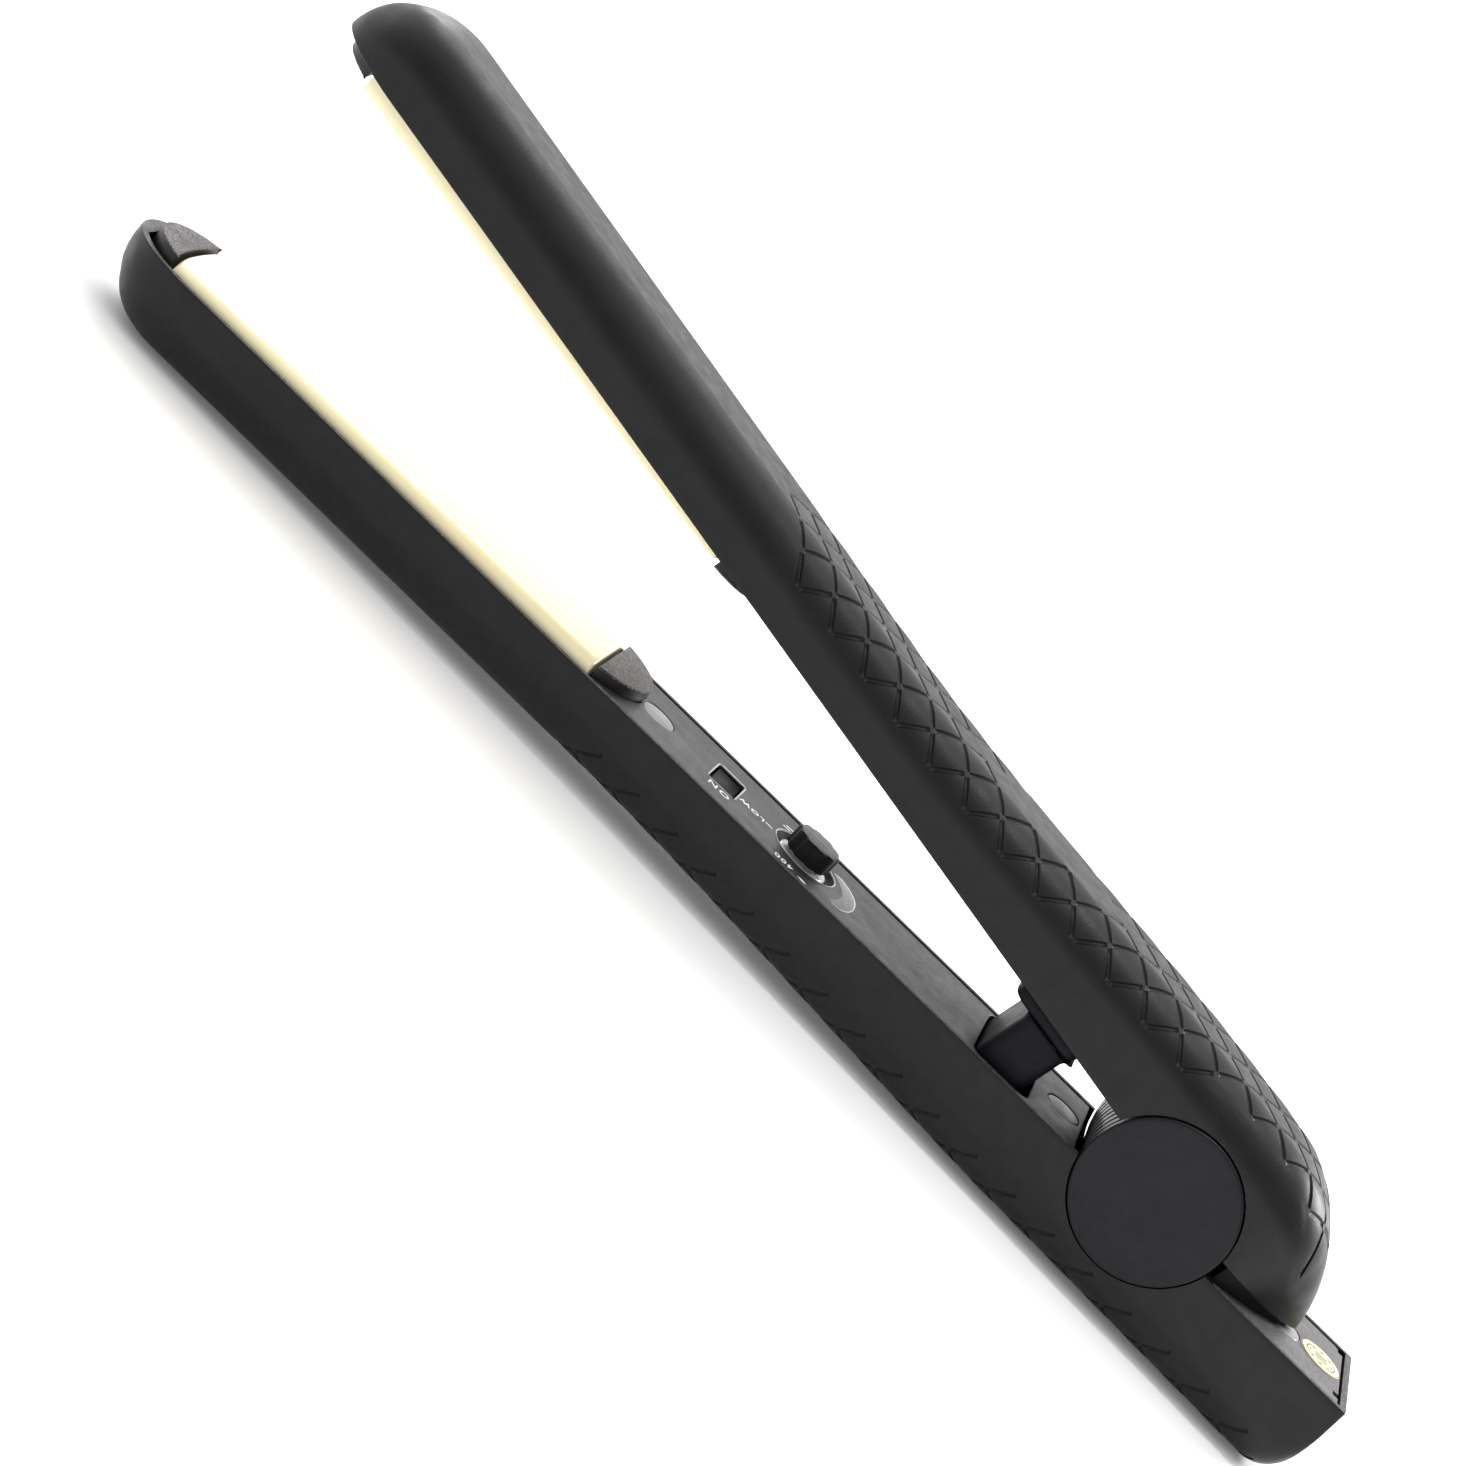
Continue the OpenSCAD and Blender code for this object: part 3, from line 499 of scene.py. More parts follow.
def strokes(width, depth, upper):
    """The engraved strokes of the grip, as closed cutters following the shell."""
    verts, faces = [], []
    rows = range(-14, 42)
    for i in rows:
        for j in rows:
            for di, dj in ((1, 0), (0, 1)):
                ends = []
                for u, v in ((i, j), (i + di, j + dj)):
                    ends.append((GRIP_X + GRIP_PITCH * (u + v) / 2,
                                 -GRIP_T + GRIP_ROW * (u - v)))
                (x0, t0), (x1, t1) = ends
                past = [(x - GRIP_X) / GRIP_PITCH + (GRIP_T - abs(t)) / (2 * GRIP_ROW)
                        for x, t in ends]
                if max(abs(t0), abs(t1)) > GRIP_T + 0.2 or min(past) < -0.2:
                    continue
                mid_x, mid_t = np.array([(x0 + x1) / 2]), np.array([(t0 + t1) / 2])
                if grip_area(mid_x, mid_t, upper)[0] < 0.5:
                    continue
                # only one of the two families reaches the edge on the lower arm
                if not upper and abs(mid_t[0]) > GRIP_T - GRIP_ROW and dj == (mid_t[0] > 0):
                    continue
                length = math.hypot(x1 - x0, t1 - t0)
                ux, ut = (x1 - x0) / length, (t1 - t0) / length
                reach = length - 2 * STROKE_GAP
                along = np.array([0, 0.35, *np.linspace(0.8, reach - 0.8, 8), reach - 0.35,
                                  reach])
                deep = np.array([0.02, 0.8, *[1.0] * 8, 0.8, 0.02]) * STROKE_D
                base = len(verts)
                sx, st = x0 + ux * (STROKE_GAP + along), t0 + ut * (STROKE_GAP + along)
                grow = (STROKE_W - STROKE_FLOOR) / STROKE_D
                section = []
                for side, over in ((1, True), (-1, True), (-1, False), (1, False)):
                    h = np.full_like(along, 0.35) if over else -deep
                    a = STROKE_W + grow * h
                    px, pt = sx - side * ut * a, st + side * ux * a
                    y, z, ny, nz = surface(px, pt, width, depth)
                    section.append(np.stack([px, y + ny * h, z + nz * h], -1))
                ring = np.stack(section, 1)
                verts.extend(ring.reshape(-1, 3).tolist())
                n = len(along)
                for k in range(n - 1):
                    for c in range(4):
                        a, b = base + k * 4 + c, base + k * 4 + (c + 1) % 4
                        faces.append((a, b, b + 4, a + 4))
                faces.append(tuple(base + c for c in (3, 2, 1, 0)))
                faces.append(tuple(base + (n - 1) * 4 + c for c in range(4)))
    return verts, faces


def shell_rings(width, depth, stations, upper):
    """Closed sections of the solid outside of a shell, its rim edges slightly rounded."""
    rim_edge = 0.2
    rings = []
    for x, inset in stations:
        xs = np.array([float(x)])
        w, d = float(width(xs, 0)[0]) - inset, float(depth(xs, 0)[0]) - inset
        w, d = max(w, 0.01), max(d, RIM + 0.01)
        q = min(CORNER, w * 0.96, (d - RIM) * 0.92)
        flat = w - q + q * math.sin(CREASE)
        turn = flat + q * (math.pi / 2 - CREASE)
        er = min(rim_edge, (d - q - RIM) * 0.5, w * 0.3)
        end = turn + max(0.001, d - q - RIM - er)
        t = np.concatenate([np.linspace(0, flat, 9)[:-1], np.linspace(flat, turn, 27)[:-1],
                            np.linspace(turn, end, 11)])
        y, z, ny, nz = surface(np.full_like(t, x), t, width, depth, inset)
        y[0] = 0.0
        half = []
        for sign in (-1, 1):
            dep = crown(np.full_like(t, x), sign * t, upper) if inset == 0 else 0 * t
            half.append(np.stack([np.full_like(y, x), sign * (y - ny * dep), z - nz * dep], -1))
        edge = np.array([(x, w - er + er * math.cos(a), RIM + er - er * math.sin(a))
                         for a in np.radians([30, 60, 90])])
        rings.append(np.concatenate([half[0][::-1], half[1][1:], edge,
                                     edge[::-1] * np.array([1, -1, 1])]))
    return np.array(rings)


def void_rings(width, depth, stations):
    """Closed sections of the hollow of a shell, reaching out past the rim."""
    rings = []
    for x in stations:
        xs = np.array([float(x)])
        w = max(0.02, float(width(xs, LIP)[0]))
        d = max(RIM + 0.05, float(depth(xs, LIP)[0]))
        q = min(CORNER - LIP, w * 0.96, (d - RIM) * 0.92)
        far = [(x, w - q + q * math.sin(a), d - q + q * math.cos(a))
               for a in np.linspace(0, math.pi / 2, 9)] + [(x, w, RIM - 2)]
        rings.append([(a, -b, c) for a, b, c in far[::-1]] + far)
    return np.array(rings)


def solid(name, verts, faces):
    """A closed mesh left in millimetres, in the arm's own frame."""
    return to_mesh(name, verts, faces, Matrix(), 1e-5)


def subtract(mesh, *tools):
    """The mesh with the closed tool meshes cut away from it."""
    for tool_mesh in tools:
        tool = bpy.data.objects.new("cutter", tool_mesh)
        body = bpy.data.objects.new("cut_body", mesh)
        for o in (tool, body):
            bpy.context.scene.collection.objects.link(o)
        mod = body.modifiers.new("cut", "BOOLEAN")
        mod.operation, mod.object, mod.solver = "DIFFERENCE", tool, "MANIFOLD"
        bpy.context.view_layer.update()
        mesh = bpy.data.meshes.new_from_object(
            body.evaluated_get(bpy.context.evaluated_depsgraph_get()))
        for o in (tool, body):
            bpy.data.objects.remove(o)
    return mesh


def nose_stations(length):
    """Sections along the nose, closest where it rounds off."""
    return [NOSE_X0 - length * math.sin(a) for a in
            np.radians([89.5, 88, 86, 83, 79, 75, 70, 65, 60, 55, 50, 45, 40, 35, 30, 25, 20, 15,
                        10, 5, 0])]


STEP = 0.8  # between the sections along the grip


def build_shell(name, upper, m, node, body):
    """A shell as one closed solid: the outside less its hollow, the hinge and the strokes."""
    width, depth = (upper_w, upper_d) if upper else (lower_w, lower_d)
    end = 31.0 if upper else TAIL_X0
    body_xs = [*np.arange(NOSE_X0 + 3, -138, 3.2), *np.arange(-138, end, STEP)]
    stations = [(x, 0) for x in [*nose_stations(NOSE_L), *body_xs]]
    hollow = [*nose_stations(NOSE_L - NOSE_LIP), *np.arange(NOSE_X0 + 3, end - 2, 3.0)]
    if upper:
        stations += [(x, 0) for x in np.linspace(end, HEEL_X - 0.02, 16)]
        hollow += list(np.linspace(end - 1.5, HEEL_X - LIP - 0.02, 8))
    else:
        stations += [(TAIL_X0 + TAIL_R * math.sin(a), 0)
                     for a in np.radians([4, 12, 20, 28, 36, 44, 52, 60, 66])]
        stations += [(TAIL_X - 0.5 + 0.5 * math.sin(a), 0.5 - 0.5 * math.cos(a))
                     for a in np.radians([0.01, 30, 60, 90])]
        hollow += [TAIL_X0 + 2, TAIL_X0 + 4, TAIL_X - LIP]
    flip = 1 if upper else -1
    verts, faces = skin(shell_rings(width, depth, stations, upper) * (1, 1, flip))
    outer = solid(name, verts, faces)
    verts, faces = skin(void_rings(width, depth, hollow) * (1, 1, flip))
    tools = [solid("void", verts, faces)]
    tools.append(lathe("hinge", rounded_disc(CUT_R, -20, 20, 0.01), ACROSS, 192))
    if not upper:
        bore = Matrix.Translation((44, 0, -11.5)) @ Matrix.Rotation(math.radians(90), 4, "Y")
        tools.append(lathe("inlet", rounded_disc(5.05, -4, 8, 0.01), bore, 96))
    verts, faces = strokes(width, depth, upper)
    tools.append(solid("strokes", np.array(verts) * (1, 1, flip), faces))
    mesh = subtract(outer, *tools)
    mesh.transform(m)
    piece(name, mesh, body, "soft_touch_black", [node], sharp=34)


build_shell("lower_shell", False, LOW, "lower_housing", "lower_arm")
build_shell("upper_shell", True, UP, "upper_housing", "upper_arm")


def rim_highlight_bands(name, width, m, node, tail):
    """A painted highlight: a paler band laid on the flat of the rim along each shell."""
    def edge(xs, k, inset):
        return [(x, float(width(np.array([x]), k)[0]) - inset) for x in xs]
    out_x = nose_stations(NOSE_L) + [-100.0, -18.0]
    in_x = nose_stations(NOSE_L - NOSE_LIP) + [-100.0, -18.0]
    outer = [(x + (0.3 if i < 12 else 0.1), y)
             for i, (x, y) in enumerate(edge(out_x, 0, 0.28))]
    inner = [(x - 0.12, y) for x, y in edge(in_x, LIP, -0.12)]
    outer = [p for p in outer if p[1] > 0.05]
    inner = [p for p in inner if p[1] > 0.3]
    band_line = ([(x, -y) for x, y in outer[::-1]] + outer + inner[::-1]
                 + [(x, -y) for x, y in inner])
    # the band is a painted highlight on the rim flat
    z0, z1 = -RIM - 0.06, -RIM + 0.03
    parts = [slab(name, [band_line], z0, z1, m, 0.02, 1)]
    if tail:
        y0, y1, x0, x1 = HALF - LIP + 0.12, HALF - 0.28, TAIL_X - LIP, TAIL_X - 0.3
        parts.append(slab(name + "_tail", [[(17, y0), (x0, y0), (x0, -y0), (17, -y0), (17, -y1),
                                            (x1, -y1), (x1, y1), (17, y1)]],
                          z0, z1, m, 0.02, 1))
    piece(name, join(*parts), node, "soft_touch_black", mat=RIM_HIGHLIGHT)


rim_highlight_bands("lower_rim_highlight", lower_w, LOW, "lower_arm", True)
rim_highlight_bands("upper_rim_highlight", upper_w, UP_FLIP, "upper_arm", False)

# ---- plates and end blocks ---------------------------------------------------------


def ceramic_plate(name, m, node, body, place, tilt, skirt):
    """The plate: softly rounded long edges and ends, its front bowed round the crescent."""
    half, end, end_r = PLATE_W / 2, PLATE_L / 2, 0.8
    mid = end - PLATE_X
    span = np.concatenate([[0], np.sin(np.radians(np.linspace(18, 90, 26)))])
    ends = [(a, end_r - end_r * math.cos(a)) for a in np.radians([90, 72, 54, 36, 18, 0])]
    xs = [(-end + end_r - end_r * math.sin(a), i) for a, i in ends]
    xs += [(x, 0) for x in np.linspace(-end + 4, end - 4, 24)]
    xs += [(end - end_r + end_r * math.sin(a), i) for a, i in reversed(ends)]
    rings = []
    for x, inset in xs:
        w = half - inset * 0.4
        y = w * span
        edge = np.clip((y - (w - 6.5)) / 6.5, 0, 1)
        z = PLATE_TOP - inset - 3.0 * (1 - (1 - edge ** 2.4) ** (1 / 2.4))
        far = [*zip(y, z), (w, skirt)]
        pts = [(-a, b) for a, b in far[::-1]] + far[1:]
        bow = 0.7 * max(0.0, -x / end) ** 6
        rings.append([(x - bow * (1 - (b / half) ** 2), b, c) for b, c in pts])
    verts, faces = skin(rings)
    turn = (Matrix.Translation((mid, 0, place)) @ Matrix.Rotation(-tilt, 4, "Y")
            @ Matrix.Translation((0, 0, -PLATE_TOP)))
    top = to_mesh(name, verts, faces, m @ turn, weld=1e-3)
    rib = slab(name + "_rib", [rect(-43.5, 46, -8, 8, 0.6)], -8.2, skirt + 0.02, m @ turn, 0.2)
    piece(name, join(top, rib), body, "ivory_ceramic", [node], sharp=50)


ceramic_plate("lower_ceramic_plate", LOW, "lower_plate", "lower_floating_plate",
              PLATE_TOP, PLATE_TILT, -5.6)
ceramic_plate("upper_ceramic_plate", UP_FLIP, "upper_plate", "upper_floating_plate",
              UPPER_TOP, UPPER_TILT, -6.0)


def end_blocks(name, m, node, body):
    """The plate carrier: channel, front crescent and rounded rear block; thin paler caps on their tops are painted
    light, lit tops against dark side walls.
    """
    c, r, x0 = -228.1, 12.6, -232.9  # centre, radius and rear edge of the crescent
    a = math.degrees(math.acos((x0 - c) / r))
    front = arc(c, 0, r - 0.1, a, 360 - a, 48)
    front += [(x0 - 0.75 * (1 - (y / 12.0) ** 2), y) for y in np.linspace(-11.6, 11.6, 15)]
    crescent = slab(name + "_crescent", [front], -9.5, BLOCK_TOP - 0.12, m, 0.2, 2)
    # painted light: thin paler caps on the top faces of the crescent and the rear block
    lit_top_a = slab(name + "_lit_top_a", [front], BLOCK_TOP - 0.4, BLOCK_TOP, m, 0.13, 3)
    a2 = math.degrees(math.acos((-131.5 - BLOCK_X) / BLOCK_R))
    back = arc(BLOCK_X, 0, BLOCK_R, -a2, a2, 48)
    rear = slab(name + "_rear", [back], -6.9, BLOCK_TOP - 0.12, m, 0.3, 2)
    lit_top_b = slab(name + "_lit_top_b", [back], BLOCK_TOP - 0.5, BLOCK_TOP, m, 0.2, 3)
    section = [(13.2, -6.9), (13.2, -10), (9.5, -15), (-9.5, -15), (-13.2, -10), (-13.2, -6.9),
               (-11.2, -6.9), (-11.2, -9.6), (-8.8, -13.4), (8.8, -13.4), (11.2, -9.6),
               (11.2, -6.9)]
    verts, faces = skin([[(x, y, z) for y, z in section] for x in (-227, -123)])
    channel = to_mesh(name + "_channel", verts, faces, m)
    tongue = slab(name + "_tongue", [rect(-233, -226.6, -8, 8)], -9.4, -7.2, m, 0.2)
    wall = slab(name + "_wall", [rect(-228.5, -226.9, -8.8, 8.8, 0.3)], -14.9, -7.2, m, 0.2)
    piece(name, join(crescent, rear, channel, tongue, wall), body, "carrier_black", [node])
    piece(name + "_faces", join(lit_top_a, lit_top_b), body, "cover_grey", mat=BLOCK_LIT_TOP)


end_blocks("lower_end_blocks", LOW, "lower_plate_carrier", "lower_arm")
end_blocks("upper_end_blocks", UP_FLIP, "upper_plate_carrier", "upper_arm")

# ---- inner covers ------------------------------------------------------------------


def cover_outline(x0, x1):
    """A cover whose front edge is notched round the rounded rear block."""
    r = 12.75
    a = math.degrees(math.acos((x0 - BLOCK_X) / r))
    return arc(BLOCK_X, 0, r, a, -a, 40) + [(x0, -COVER_HALF), (x1, -COVER_HALF),
                                            (x1, COVER_HALF), (x0, COVER_HALF)]


def plug_hole(name):
    return circle(PLUGS[name], 0, PLUG_D / 2 + 0.12)


BUTTON_RECT = (-BUTTON_X - BUTTON_L / 2, -BUTTON_X + BUTTON_L / 2)


def lower_cover():
    outline = [
        cover_outline(*COVER_ENDS),
        plug_hole("front_screw_plug"),
        plug_hole("middle_screw_plug"),
        circle(-DIAL_X, 0, WELL_D / 2),
        rect(BUTTON_RECT[0] - 0.3, BUTTON_RECT[1] + 0.3, -BUTTON_W / 2 - 0.3, BUTTON_W / 2 + 0.3,
             1.0),
        rect(SLOT[0], SLOT[1], -SLOT[2], SLOT[2], 1.6)]
    piece("lower_cover", slab("lower_cover", outline, COVER_UNDER, COVER_TOP, LOW, 0.22),
          "lower_arm", "cover_grey", ["lower_inner_cover"])


def tail_cover():
    x0, x1, w = 15.9, 46.4, COVER_HALF
    edge = [(x0, -w), (x1, -w), (x1, -10.7), (45.2, -10.7), (45.2, -8.7), (x1, -8.7), (x1, 11.4)]
    edge += [(45.3, 11.4), (45.3, w - 0.6), (44.7, w), (x0, w)]
    mesh = slab("rear_cover", [edge, plug_hole("rear_screw_plug")], COVER_UNDER, COVER_TOP, LOW,
                0.16)
    piece("rear_cover", mesh, "lower_arm", "cover_grey", ["tail_cover"], TAIL_FACE)


def upper_cover():
    outline = [cover_outline(*COVER_ENDS)]
    outline += [circle(PLUGS[n], 0, 2.8) for n in ("front_screw_plug", "middle_screw_plug")]
    piece("upper_cover", slab("upper_cover", outline, COVER_UNDER, COVER_TOP, UP_FLIP, 0.22),
          "upper_arm", "cover_grey", ["upper_inner_cover"])


def plugs():
    """Slightly domed plugs, each in a fine ring gap."""
    for node, x in PLUGS.items():
        r = PLUG_D / 2
        h = COVER_TOP - 0.14
        dome = [(r * t, h + 0.30 * (1 - t * t)) for t in (0.9, 0.75, 0.6, 0.4, 0.2, 0.0)]
        edge = [(r - 0.22 + 0.22 * math.cos(t), h - 0.17 + 0.22 * math.sin(t))
                for t in (0, 0.4, 0.8, 1.2)]
        profile = [(0, COVER_UNDER + 0.1), (r, COVER_UNDER + 0.1)] + edge + dome
        m = LOW @ Matrix.Translation((x, 0, 0))
        piece(node.replace("_plug", "_cap"), lathe(node, profile, m, 72), "lower_arm",
              "plug_grey", [node], sharp=50)


lower_cover()
tail_cover()
upper_cover()
plugs()

# ---- controls ------------------------------------------------------------------------


def button():
    """A button with a deep finger dish, recessed, with a painted highlight as a fine pale line round its opening.
    """
    x0, x1, w = *BUTTON_RECT, BUTTON_W / 2
    top, dish = COVER_TOP - 0.5, 1.2
    rings = []
    e = 0.25
    for x, drop in ((x0, e), (x0 + 0.3 * e, 0.3 * e), (x0 + e, 0), (x1 - e, 0),
                    (x1 - 0.3 * e, 0.3 * e), (x1, e)):
        ys = np.linspace(-w + 0.02, w - 0.02, 33)
        zs = top - drop - dish * (1 - (ys / w) ** 2)
        rings.append([(x, y, z) for y, z in zip(ys, zs)]
                     + [(x, w - 0.02, COVER_UNDER - 0.9), (x, -w + 0.02, COVER_UNDER - 0.9)])
    verts, faces = skin(rings)
    cap = to_mesh("button_cap", verts, faces, LOW)
    flange = slab("button_flange", [rect(x0 - 1, x1 + 1, -w - 0.8, w + 0.8)],
                  COVER_UNDER - 0.9, COVER_UNDER - 0.1, LOW, 0.1)
    stem = slab("button_stem", [rect(-BUTTON_X - 1.5, -BUTTON_X + 1.5, -1.5, 1.5, 0.3)],
                -8.3, COVER_UNDER - 0.5, LOW, 0.1)
    piece("push_button", join(cap, flange, stem), "button", "button_black", ["power_button"])
    # painted highlight: a pale line round the button's opening
    highlight_mesh = slab("button_edge_highlight", [rect(x0 - 0.62, x1 + 0.62, -w - 0.7, w + 0.9, 1.3),
                                       rect(x0 - 0.3, x1 + 0.3, -w - 0.3, w + 0.3, 0.4)],
                      COVER_TOP - 0.6, COVER_TOP + 0.08, LOW, 0.07)
    piece("button_edge_highlight", highlight_mesh, "lower_arm", mat=EDGE_HIGHLIGHT, slot="cover_grey")


def knob():
    """A lobed knob with straight walls, a flat grained top and a fine edge radius."""
    lobes, n = 10, 240
    base, top, e = COVER_TOP + 0.2, COVER_TOP + DIAL_H - 0.01, 0.22

    def wall(inset):
        ring = []
        for i in range(n):
            a = 2 * math.pi * i / n
            r = DIAL_D / 2 - inset - 0.32 * (0.5 - 0.5 * math.cos(lobes * a)) ** 1.5
            ring.append((r * math.cos(a), r * math.sin(a)))
        return ring
    rings = []
    for z, inset in ((base, 0.3), (base, 0.12), (base + 0.12, 0), (top - e, 0),
                     (top - 0.6 * e, 0.06), (top - 0.2 * e, 0.16), (top, 0.34)):
        rings.append([(x, y, z) for x, y in wall(inset)])
    verts, faces = skin(rings)
    m = LOW @ Matrix.Translation((-DIAL_X, 0, 0))
    mesh = to_mesh("dial_knob", verts, faces, m)
    pointer = slab("dial_mark", [rect(-3.9, -2.4, -0.22, 0.22, 0.15)], top - 0.1, top,
                   m @ Matrix.Rotation(math.radians(35), 4, "Z"), 0.04)
    piece("dial_knob", mesh, "dial", "knob_black", ["temperature_dial"], sharp=35)
    face = slab("dial_face", [wall(0.34)], top - 0.2, top + 0.01, m, 0.01, 1)
    piece("dial_face", face, "dial", "knob_black", mat=COVER_DARK)
    piece("dial_mark", pointer, "dial", "ring_pale")


def light_ring():
    """The pale ring under the knob, the black groove round it, its black a painted shade, and a painted highlight
    as the fine pale edge of the well.
    """
    m = LOW @ Matrix.Translation((-DIAL_X, 0, 0))
    r, z = WELL_D / 2 - 0.05, COVER_TOP - 0.5
    inner = [(3.45, COVER_UNDER), (5.25, COVER_UNDER), (5.25, z - 0.25), (5.0, z - 0.05),
             (3.45, z)]
    piece("light_ring", lathe("light_ring", inner, m, 120), "lower_arm", "ring_pale",
          ["dial_light_ring"])
    # painted shade: the wall of the well is made near-black
    well = [(5.3, COVER_UNDER), (r, COVER_UNDER), (r, z + 0.2), (r - 0.15, z), (r - 0.5, z - 0.5),
            (5.3, z - 0.8)]
    piece("ring_groove_shade", lathe("ring_groove_shade", well, m, 120), "lower_arm", "ring_pale", mat=GROOVE_SHADE)
    # painted highlight: a pale edge on the rim of the well
    edge = [(r + 0.05, COVER_TOP - 0.4), (r + 0.34, COVER_TOP - 0.4), (r + 0.34, COVER_TOP + 0.05),
            (r + 0.22, COVER_TOP + 0.09), (r + 0.05, COVER_TOP + 0.03)]
    piece("well_edge_highlight", lathe("well_edge_highlight", edge, m, 120), "lower_arm", mat=EDGE_HIGHLIGHT,
          slot="ring_pale")


def words(text, size, at, turn, spacing=1.0):
    """Printed letters, reading with the arm held from its far side."""
    curve = bpy.data.curves.new(text, "FONT")
    curve.body = text
    curve.size = size
    curve.space_character = spacing
    curve.extrude = 0.02
    curve.offset = 0.05
    curve.resolution_u = 4
    curve.align_x = curve.align_y = "CENTER"
    m = LOW @ Matrix.Translation((*at, COVER_TOP + 0.015)) @ Matrix.Rotation(
        math.radians(turn), 4, "Z")
    return curve_mesh(text, curve, m)


def printed(name, lines):
    """A print of closed outlines on the lower cover."""
    return slab(name, lines, COVER_TOP - 0.02, COVER_TOP + 0.03, LOW, 0.008, 1)


def prints():
    """The marks of the controls: on, low, the top heat, and a swirl that grows with the heat."""
    marks = [
        words("ON", 2.9, (-102.2, -7.3), 180, 1.25),
        words("LOW", 2.3, (-95.6, -1.6), 180, 1.2),
        words("400", 2.5, (-85.6, -11.2), 180, 1.2),
        printed("tick", [rect(-92.4, -90.8, -1.6, -1.1, 0.1)]),
        printed("line_a", [rect(-89.9, -88.2, 5.4, 5.75, 0.1)]),
        printed("line_b", [rect(-89.4, -87.6, 6.7, 7.05, 0.1)]),
        printed("drop", [[(-82.1 + 2.1 * t, -12.0 - 0.35 * math.sin(math.pi * t) - 0.3 * t)
                          for t in np.linspace(0, 1, 12)]
                         + [(-82.1 + 2.1 * t, -12.0 + 0.45 * math.sin(math.pi * t) - 0.3 * t)
                            for t in np.linspace(1, 0, 12)][1:-1]]),
    ]
    piece("cover_prints", join(*marks), "lower_arm", mat=PRINT, slot="ring_pale")
    ang = np.radians(np.linspace(47, -47, 40))
    t = (ang[0] - ang) / (ang[0] - ang[-1])
    outer = np.interp(t, [0, 0.03, 0.15, 0.34, 0.585, 0.81, 0.93, 1],
                      [8.1, 9.4, 10.4, 11.4, 12.2, 13.2, 13.4, 12.2])
    inner = np.interp(t, [0, 0.22, 0.48, 0.75, 1], [8.0, 8.15, 8.8, 9.85, 11.3])

    def polar(r):
        return [(-DIAL_X + q * math.cos(a), q * math.sin(a)) for q, a in zip(r, ang)]
    swirl = printed("swirl", [polar(outer) + polar(inner)[::-1]])
    piece("level_swirl", swirl, "lower_arm", mat=PRINT_DIM, slot="ring_pale")
    line = printed("swirl_line", [polar(outer + 0.18) + polar(outer - 0.12)[::-1]])
    piece("swirl_edge", line, "lower_arm", mat=PRINT, slot="ring_pale")


button()
knob()
light_ring()
prints()

# ---- tail details ---------------------------------------------------------------------


def sticker():
    """The round label of the tail, printed with plain rings, dots and bars."""
    x, r, z = 41.6, 4.55, COVER_TOP
    m = LOW @ Matrix.Translation((x, 0, 0))
    disc = lathe("seal", [(0, z - 0.03), (r, z - 0.03), (r, z + 0.08), (r - 0.08, z + 0.14),
                          (r - 0.3, z + 0.15), (0, z + 0.15)], m, 96)
    piece("round_sticker", disc, "lower_arm", "sticker_gold", ["inspection_sticker"])
    ink = [lathe("ring", [(q - w, z + 0.14), (q, z + 0.14), (q, z + 0.165), (q - w, z + 0.165)],
                 m, 96) for q, w in ((3.35, 0.26), (4.5, 0.16))]
    dots = [(math.cos(a) * 2.55, math.sin(a) * 2.55) for a in np.linspace(0, 6.28, 9)[:-1]]
    bars = [rect(-1.4, 1.4, y - 0.23, y + 0.23, 0.1) for y in (-0.95, 0.0, 0.95)]
    bars += [circle(a, b, 0.32, 10) for a, b in dots]
    for k, line in enumerate(bars):
        ink.append(slab(f"ink{k}", [line], z + 0.14, z + 0.17, m, 0.008, 1))
    piece("sticker_print", join(*ink), "lower_arm", mat=INK, slot="sticker_gold")


sticker()

# ---- hinge ----------------------------------------------------------------------------


def hinge_caps():
    """Round covers with a rounded edge and a very shallow dish."""
    r, y0, y1 = CAP_R, 13.5, HALF + 0.6
    profile = [(0, y0), (r, y0), (r, y1 - 0.55)]
    profile += [(r - 0.5 + 0.5 * math.cos(a), y1 - 0.5 + 0.5 * math.sin(a))
                for a in np.radians([15, 35, 55, 75, 90])]
    profile += [(r - 1.5, y1), (r * 0.5, y1 - 0.02), (0, y1 - 0.02)]
    for name, side in (("near", -1), ("far", 1)):
        m = LOW @ (ACROSS if side > 0 else Matrix.Rotation(math.radians(90), 4, "X"))
        piece(name + "_round_cap", lathe(name + "_round_cap", profile, m, 180), "lower_arm",
              "hinge_black", [name + "_hinge_cap"], sharp=40)


hinge_caps()


def drum():
    """Ribbed front and back of the hinge barrel, between the round covers."""
    ribs = []
    for k in range(8):
        y = -13.2 + 3.3 * k
        ribs += [(y, 14.75), (y + 0.35, 15.08), (y + 2.3, 15.08), (y + 2.65, 14.75),
                 (y + 3.25, 14.75)]
    profile = ribs + [(ribs[-1][0], 14.5), (ribs[0][0], 14.5)]
    parts = []
    for a0, a1 in ((139, 222), (-42, 30)):
        rings = [[(r * math.cos(a), y, r * math.sin(a)) for y, r in profile]
                 for a in np.radians(np.linspace(a0, a1, 48))]
        verts, faces = skin(rings)
        parts.append(to_mesh("drum", verts, faces, LOW))
    piece("hinge_drum", join(*parts), "lower_arm", "hinge_black")


drum()


